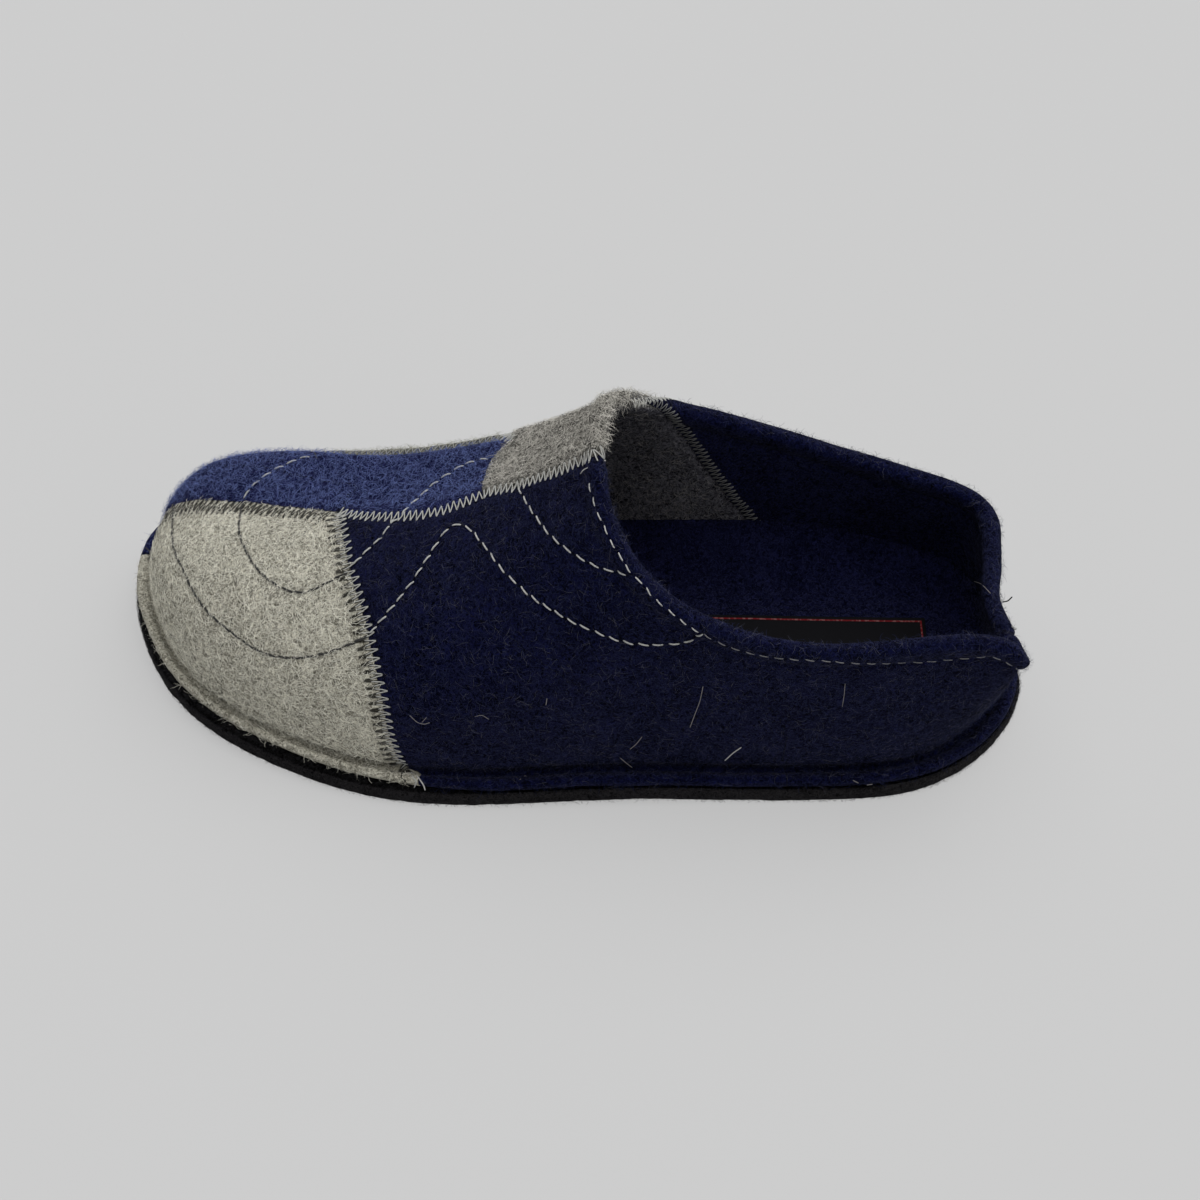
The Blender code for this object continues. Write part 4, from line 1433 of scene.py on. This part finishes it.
def ribbons(name, roots, normals, colour, length, lift, width, slot="upper"):
    """Thin curved ribbons of one colour from roots; length and lift are ranges, all three in mm."""
    count = len(roots)
    helper = rng.normal(size=(count, 3))
    tangent = np.cross(normals, helper)
    tangent /= np.linalg.norm(tangent, axis=1)[:, None]
    other = np.cross(normals, tangent)
    length, lift = ([value * MM for value in ends] for ends in (length, lift))
    reach = rng.uniform(*length, size=count)
    rise = rng.uniform(*lift, size=count) * rng.uniform(0.3, 1.0, size=count)
    turn = rng.normal(size=count) * TURN
    line = np.zeros((count, 4, 3))
    spot = roots - normals * ROOT_DEPTH
    heading = np.zeros(count)
    for n, share in enumerate(np.linspace(0.0, 1.0, 4)):
        if n:
            heading = heading + turn / 3.0 + rng.normal(size=count) * WAVER
            step = (reach / 3.0)[:, None]
            spot = spot + step * (np.cos(heading)[:, None] * tangent + np.sin(heading)[:, None] * other)
        height = rise * math.sin(math.pi * min(0.5 + 0.15, share * 0.65 + 0.02)) + 0.1 * MM
        line[:, n] = spot + normals * height[:, None]
    ahead = np.gradient(line, axis=1)
    face = normals[:, None, :] + FACE_TILT * rng.normal(size=(count, 1, 3))
    across = np.cross(ahead, face)
    across /= np.maximum(np.linalg.norm(across, axis=2)[..., None], 1e-12)
    half = 0.5 * (width * MM) * TAPER
    left = line + across * half[None, :, None]
    right = line - across * half[None, :, None]
    points = np.stack([left, right], axis=2).reshape(-1, 3)
    base = np.arange(count)[:, None] * 8
    quads = [base + np.array([2 * n, 2 * n + 1, 2 * n + 3, 2 * n + 2])[None, :] for n in range(3)]
    material = hair_material(name.replace("fuzz", "hair"), colour)
    add_mesh(name, points, np.concatenate(quads), [material])


def scatter(count, mask):
    """Random spots on the shell, evenly by area where mask allows: points and normals."""
    grid = shell.points
    a = np.roll(grid, -1, 0) - grid
    b = np.roll(grid, -1, 1) - grid
    area = np.linalg.norm(np.cross(a, b), axis=2)
    chance = (area * mask.reshape(area.shape)).ravel()
    picks = rng.choice(len(chance), size=count, p=chance / chance.sum())
    s, t = rng.uniform(size=(2, count, 1))
    a, b = a.reshape(-1, 3)[picks], b.reshape(-1, 3)[picks]
    return grid.reshape(-1, 3)[picks] + a * s + b * t, shell.normals.reshape(-1, 3)[picks]


# ---- putting it together ----
make_camera()
upper_materials = [upper_material(own) for own in FELTS]
upper = add_mesh("felt_upper", shell.points, shell.faces, upper_materials, "upper")
# Share of the inner face, rising over the first rows below the top edge; there the taupe is darkened as
# painted shade
inner_shade = np.clip((np.arange(shell.columns) - shell.top_row - 1) / 4.0, 0.0, 1.0)
for region in PANELS:
    set_attribute(upper, "in_" + region, signed[region])
for name, values in {
    "seam_off": seam_distance / MM,
    "seam_phase": seam_phase,
    "seam_across": np.clip(seam_across, -3.0, 3.0),
    "seam_half": half_pitch[seam_owner] / MM,
    "foot_off": foot_distance / MM,
    "notch_off": notch_distance / MM,
    "inner": np.tile(inner_shade, STATIONS),
    "run_off": run_distance / MM,
    "run_side": run_side * run_distance / MM,
}.items():
    set_attribute(upper, name, values)
owner = np.zeros(len(grid_uv), dtype=int)
for index, own in enumerate(FELTS):
    if own in signed:
        owner[signed[own] > 0.0] = index
upper.data.polygons.foreach_set("material_index", owner.astype(np.int32))

sole_felt = felt_material("felt_black", (0.0014, 0.0013, 0.0018), (0.0190, 0.0175, 0.0190), 0.03)
bed_felt = felt_material("felt_bed", (0.0004, 0.0008, 0.0050), (0.0085, 0.0100, 0.0460), 0.06)
make_sole(sole_felt)
make_label(label_material(), *make_footbed(bed_felt))

pale_thread = thread_material("thread_pale", (0.42, 0.42, 0.41))
# Thread of the sunk stitches, darkened as painted shade of their groove; the dark tails use it too
shaded_thread = thread_material("thread_shaded", (0.022, 0.022, 0.021))

# The thread of each seam, in mm: radius, height over the felt, and how deep it goes in on the left and right
Sewing = namedtuple("Sewing", "piece radius lift left right")
PLAIN_SEAM = Sewing("zigzag_pale", 0.19, 0.22, 0.0, 0.0)
SEWING = {
    "blue_grey": Sewing("zigzag_grey", 0.16, 0.16, 0.55, 0.34),
    "blue_olive": Sewing("zigzag_grey", 0.16, 0.20, 0.0, 0.0),
    "grey_navy": Sewing("zigzag_pale", 0.19, 0.24, 0.0, 0.55),
}
seams = {"zigzag_pale": Threads(), "zigzag_grey": Threads(), "zigzag_inner": Threads()}
for seam in ZIGZAGS:
    sewing = SEWING.get(seam.path, PLAIN_SEAM)
    zigzag(seams[sewing.piece], seam, sewing)
zigzag(seams["zigzag_inner"], ZIGZAGS[-1], PLAIN_SEAM._replace(radius=0.15), inner=True)
seams["zigzag_pale"].piece("zigzag_pale", thread_material("thread_seam", (0.36, 0.36, 0.34)))
seams["zigzag_grey"].piece("zigzag_grey", thread_material("thread_mid", (0.24, 0.24, 0.215)))
# The zigzag's thread on the inner face is darker than outside: painted shade inside the slipper
seams["zigzag_inner"].piece("zigzag_inner", thread_material("thread_inner_shaded", (0.12, 0.12, 0.12)))

# Running stitches, in mm: on the swirls and the upper curve, light on most felts; on the grey sunk, their
# thread darkened as painted shade of the groove
LIGHT_STITCH = Stitch(3.1, 4.35, 0.25, 0.24, 0.25)
DARK_STITCH = Stitch(3.9, 4.35, 0.36, 0.22, 0.18)
light_runs, dark_runs, dim_runs = Threads(), Threads(), Threads()
for path in RUNS:
    running(light_runs, path, LIGHT_STITCH, lambda uv: region_at(uv) != "grey")
    running(dark_runs, path, DARK_STITCH, lambda uv: region_at(uv) == "grey")

# The hem's stitches: bright where the upper's swirl joins them and up the instep, dim from there round the
# heel and along the far side, where they follow the foot of the hem
BRIGHT_STITCH = Stitch(2.8, 4.3, 0.20, 0.15, 0.2)
DIM_STITCH = Stitch(3.0, 4.3, 0.17, 0.10, 0.2)
BRIGHT_FROM = shell.cast((706, 637))[0]
BRIGHT_TO = 0.5
HEM_LINE = HEM_BASE - 0.002
JOIN_GAP, JOIN_LENGTH = 0.006, 0.03
near_hem = cast_all(TOPSTITCH)
join_u, join_v = near_hem[-1]
hem_u = np.linspace(join_u - JOIN_GAP, medial_navy[0][0] - 1.0, 500)
hem_v = join_v + (HEM_LINE - join_v) * np.clip((join_u - hem_u) / JOIN_LENGTH, 0.0, 1.0)
hem_path = even_path(np.vstack([smooth_path(near_hem, 6), np.column_stack([hem_u, hem_v])]), RUN_STEP)
running(light_runs, hem_path, BRIGHT_STITCH, lambda uv: BRIGHT_FROM < uv[0] < BRIGHT_TO)
running(dim_runs, hem_path, DIM_STITCH, lambda uv: not BRIGHT_FROM < uv[0] < BRIGHT_TO)
dim_runs.piece("hem_stitches", thread_material("thread_dim", (0.17, 0.17, 0.18)))
light_runs.piece("running_stitches", pale_thread)
dark_runs.piece("sunk_stitches", shaded_thread)

# Loose threads and hairs: pixels, radius and end heights in mm
TAILS = [
    ([(741, 747), (733, 752), (725, 759)], 0.16, 0.2, 0.5),
    ([(411, 773), (418, 777), (424, 784), (425, 790)], 0.20, 0.2, 0.6),
    ([(412, 776), (417, 781), (414, 788)], 0.18, 0.2, 0.5),
    ([(588, 468), (584, 470), (581, 474)], 0.14, 0.2, 0.3),
    ([(1012, 627), (1014, 629), (1016, 628)], 0.45, 0.3, 0.3),
]
HAIRS = [
    ([(703, 686), (700, 700), (695, 712), (690, 725)], 0.11, 0.3, 0.9),
    ([(642, 736), (636, 743), (630, 747)], 0.10, 0.3, 0.8),
    ([(620, 757), (627, 762), (632, 768)], 0.10, 0.3, 0.8),
    ([(547, 698), (546, 704)], 0.12, 0.3, 0.4),
    ([(845, 683), (844, 694), (842, 705)], 0.09, 0.3, 0.7),
    ([(410, 715), (418, 722), (425, 723), (430, 721)], 0.10, 0.3, 0.8),
    ([(422, 722), (427, 716)], 0.08, 0.3, 0.8),
    ([(520, 780), (526, 776), (530, 784), (524, 790)], 0.09, 0.3, 0.6),
    ([(853, 780), (858, 782)], 0.12, 0.3, 0.4),
    ([(867, 785), (872, 783)], 0.12, 0.3, 0.4),
    ([(975, 581), (983, 585), (990, 595)], 0.10, 0.3, 0.8),
    ([(475, 716), (482, 714), (489, 718)], 0.08, 0.3, 0.6),
]
DARK_TAILS = [
    ([(1003, 602), (1008, 601), (1012, 597)], 0.20, 0.3, 0.8),
    ([(177, 512), (172, 509), (174, 505)], 0.18, 0.1, 0.3),
    ([(317, 459), (316, 456), (315, 454)], 0.18, 0.2, 0.8),
    ([(146, 548), (150, 552), (154, 560)], 0.18, 0.2, 0.4),
]
for name, material, table in (
    ("thread_tails", pale_thread, TAILS),
    ("loose_hairs", hair_material("hair_loose", (0.19, 0.18, 0.185)), HAIRS),
    ("dark_tails", shaded_thread, DARK_TAILS),
):
    tails = Threads()
    for pixels, radius, low, high in table:
        loose(tails, pixels, radius * MM, (low * MM, high * MM))
    tails.piece(name, material)

# Fuzz by felt: name, fibres, colour, length, lift and width in mm
FUZZ = [
    ("navy", 4500, (0.075, 0.075, 0.100), (1.0, 4.2), (0.1, 0.9), 0.060),
    ("taupe", 7000, (0.022, 0.020, 0.018), (1.4, 3.6), (0.1, 1.0), 0.100),
    ("grey", 5000, (0.110, 0.105, 0.090), (1.2, 3.4), (0.1, 0.6), 0.075),
    ("navy", 20000, (0.016, 0.020, 0.055), (1.2, 3.6), (0.1, 1.6), 0.075),
    ("blue", 9000, (0.110, 0.145, 0.330), (1.2, 3.4), (0.1, 2.0), 0.080),
    ("grey", 15000, (0.760, 0.740, 0.640), (1.4, 3.8), (0.1, 1.2), 0.100),
    ("taupe", 17000, (0.520, 0.500, 0.450), (1.8, 4.6), (0.1, 1.5), 0.090),
    ("olive", 4000, (0.360, 0.355, 0.290), (1.4, 3.4), (0.1, 1.8), 0.080),
]
# How much of the fuzz stands on the zigzags and on the flange, and how far it keeps from a panel's edge
SEAM_FUZZ = 0.2
FLANGE_FUZZ = {"navy": 0.6, "taupe": 0.12, "grey": 0.12, "blue": 0.12, "olive": 0.12}
FUZZ_MARGIN = 0.5
outer_mask = np.tile(np.arange(shell.columns) <= shell.top_row + 2, STATIONS)
inner_mask = np.tile(np.arange(shell.columns) > shell.top_row + 6, STATIONS)
for number, (region, count, colour, length, lift, width) in enumerate(FUZZ):
    if region == "navy":
        here = np.all([other < 0.0 for other in signed.values()], axis=0)
    else:
        here = signed[region] > FUZZ_MARGIN
    share = np.where(here & outer_mask, 1.0, 0.0) * np.where(np.abs(seam_across) < 1.1, SEAM_FUZZ, 1.0)
    share = share * np.where(grid_v < 0.0, FLANGE_FUZZ[region], 1.0)
    ribbons(f"fuzz_{region}_{number}", *scatter(count, share), colour, length, lift, width)

# Fibres on the inner face, darker than the taupe's outer fuzz: painted shade inside the slipper
share = np.where(inner_mask & (signed["taupe"] > FUZZ_MARGIN), 1.0, 0.0)
ribbons("fuzz_inner", *scatter(5000, share), (0.20, 0.19, 0.185), (1.2, 3.4), (0.1, 0.9), 0.085)

SOLE_FIBRES = 16000
EDGE_STATIONS = 1200
sole_rings = Rings(np.arange(EDGE_STATIONS) / EDGE_STATIONS)
pick = (rng.uniform(size=SOLE_FIBRES) * EDGE_STATIONS).astype(int)
root_height = rng.uniform(0.0004, 0.0060, size=SOLE_FIBRES)
edge_plan = sole_rings.edge[pick]
edge_roots = np.column_stack([edge_plan, floor_height(edge_plan[:, 0]) + root_height]) - CENTRE
edge_normals = np.column_stack([sole_rings.out[pick], np.zeros(SOLE_FIBRES)])
ribbons(
    "fuzz_sole", edge_roots, edge_normals, (0.026, 0.024, 0.025), (0.8, 2.4), (0.1, 0.7), 0.06, "outsole"
)

# ---- floor, light, background ----
# The floor's own glow evens out its white; it lies a little under the slipper
FLOOR_GLOW = 0.418
FLOOR_DROP = 0.2 * MM
FLOOR_REACH = 4.0
floor_nodes = Nodes("floor")
floor_nodes.shader.inputs["Emission Color"].default_value = (1.0, 1.0, 1.0, 1.0)
floor_nodes.shader.inputs["Emission Strength"].default_value = FLOOR_GLOW
floor_mesh = bpy.data.meshes.new("floor")
corners = [(x * FLOOR_REACH, y * FLOOR_REACH, 0.0) for x, y in ((-1, -1), (1, -1), (1, 1), (-1, 1))]
floor_mesh.from_pydata(corners, [], [(0, 1, 2, 3)])
floor_mesh.materials.append(floor_nodes.finish((0.15, 0.15, 0.15), 0.95, specular=0.0))
floor = bpy.data.objects.new("floor", floor_mesh)
floor.location.z = -FLOOR_DROP
bpy.context.scene.collection.objects.link(floor)


def add_sun(name, energy, angle, towards):
    """Soft light that shines along a direction."""
    data = bpy.data.lights.new(name, "SUN")
    data.energy = energy
    data.angle = math.radians(angle)
    light = bpy.data.objects.new(name, data)
    light.rotation_euler = Vector(towards).to_track_quat("-Z", "Y").to_euler()
    bpy.context.scene.collection.objects.link(light)


add_sun("overhead", 2.05, 80.0, (0.05, 0.25, -1.0))
add_sun("back_right", 0.85, 60.0, (0.75, 0.55, -0.75))
add_sun("heel_side", 0.55, 50.0, (0.9, -0.55, -0.25))
world = bpy.data.worlds.new("studio")
world.use_nodes = True
world.node_tree.nodes["Background"].inputs["Color"].default_value = (0.98, 0.99, 1.0, 1.0)
world.node_tree.nodes["Background"].inputs["Strength"].default_value = 0.45
bpy.context.scene.world = world
bpy.context.scene.view_settings.view_transform = "Standard"
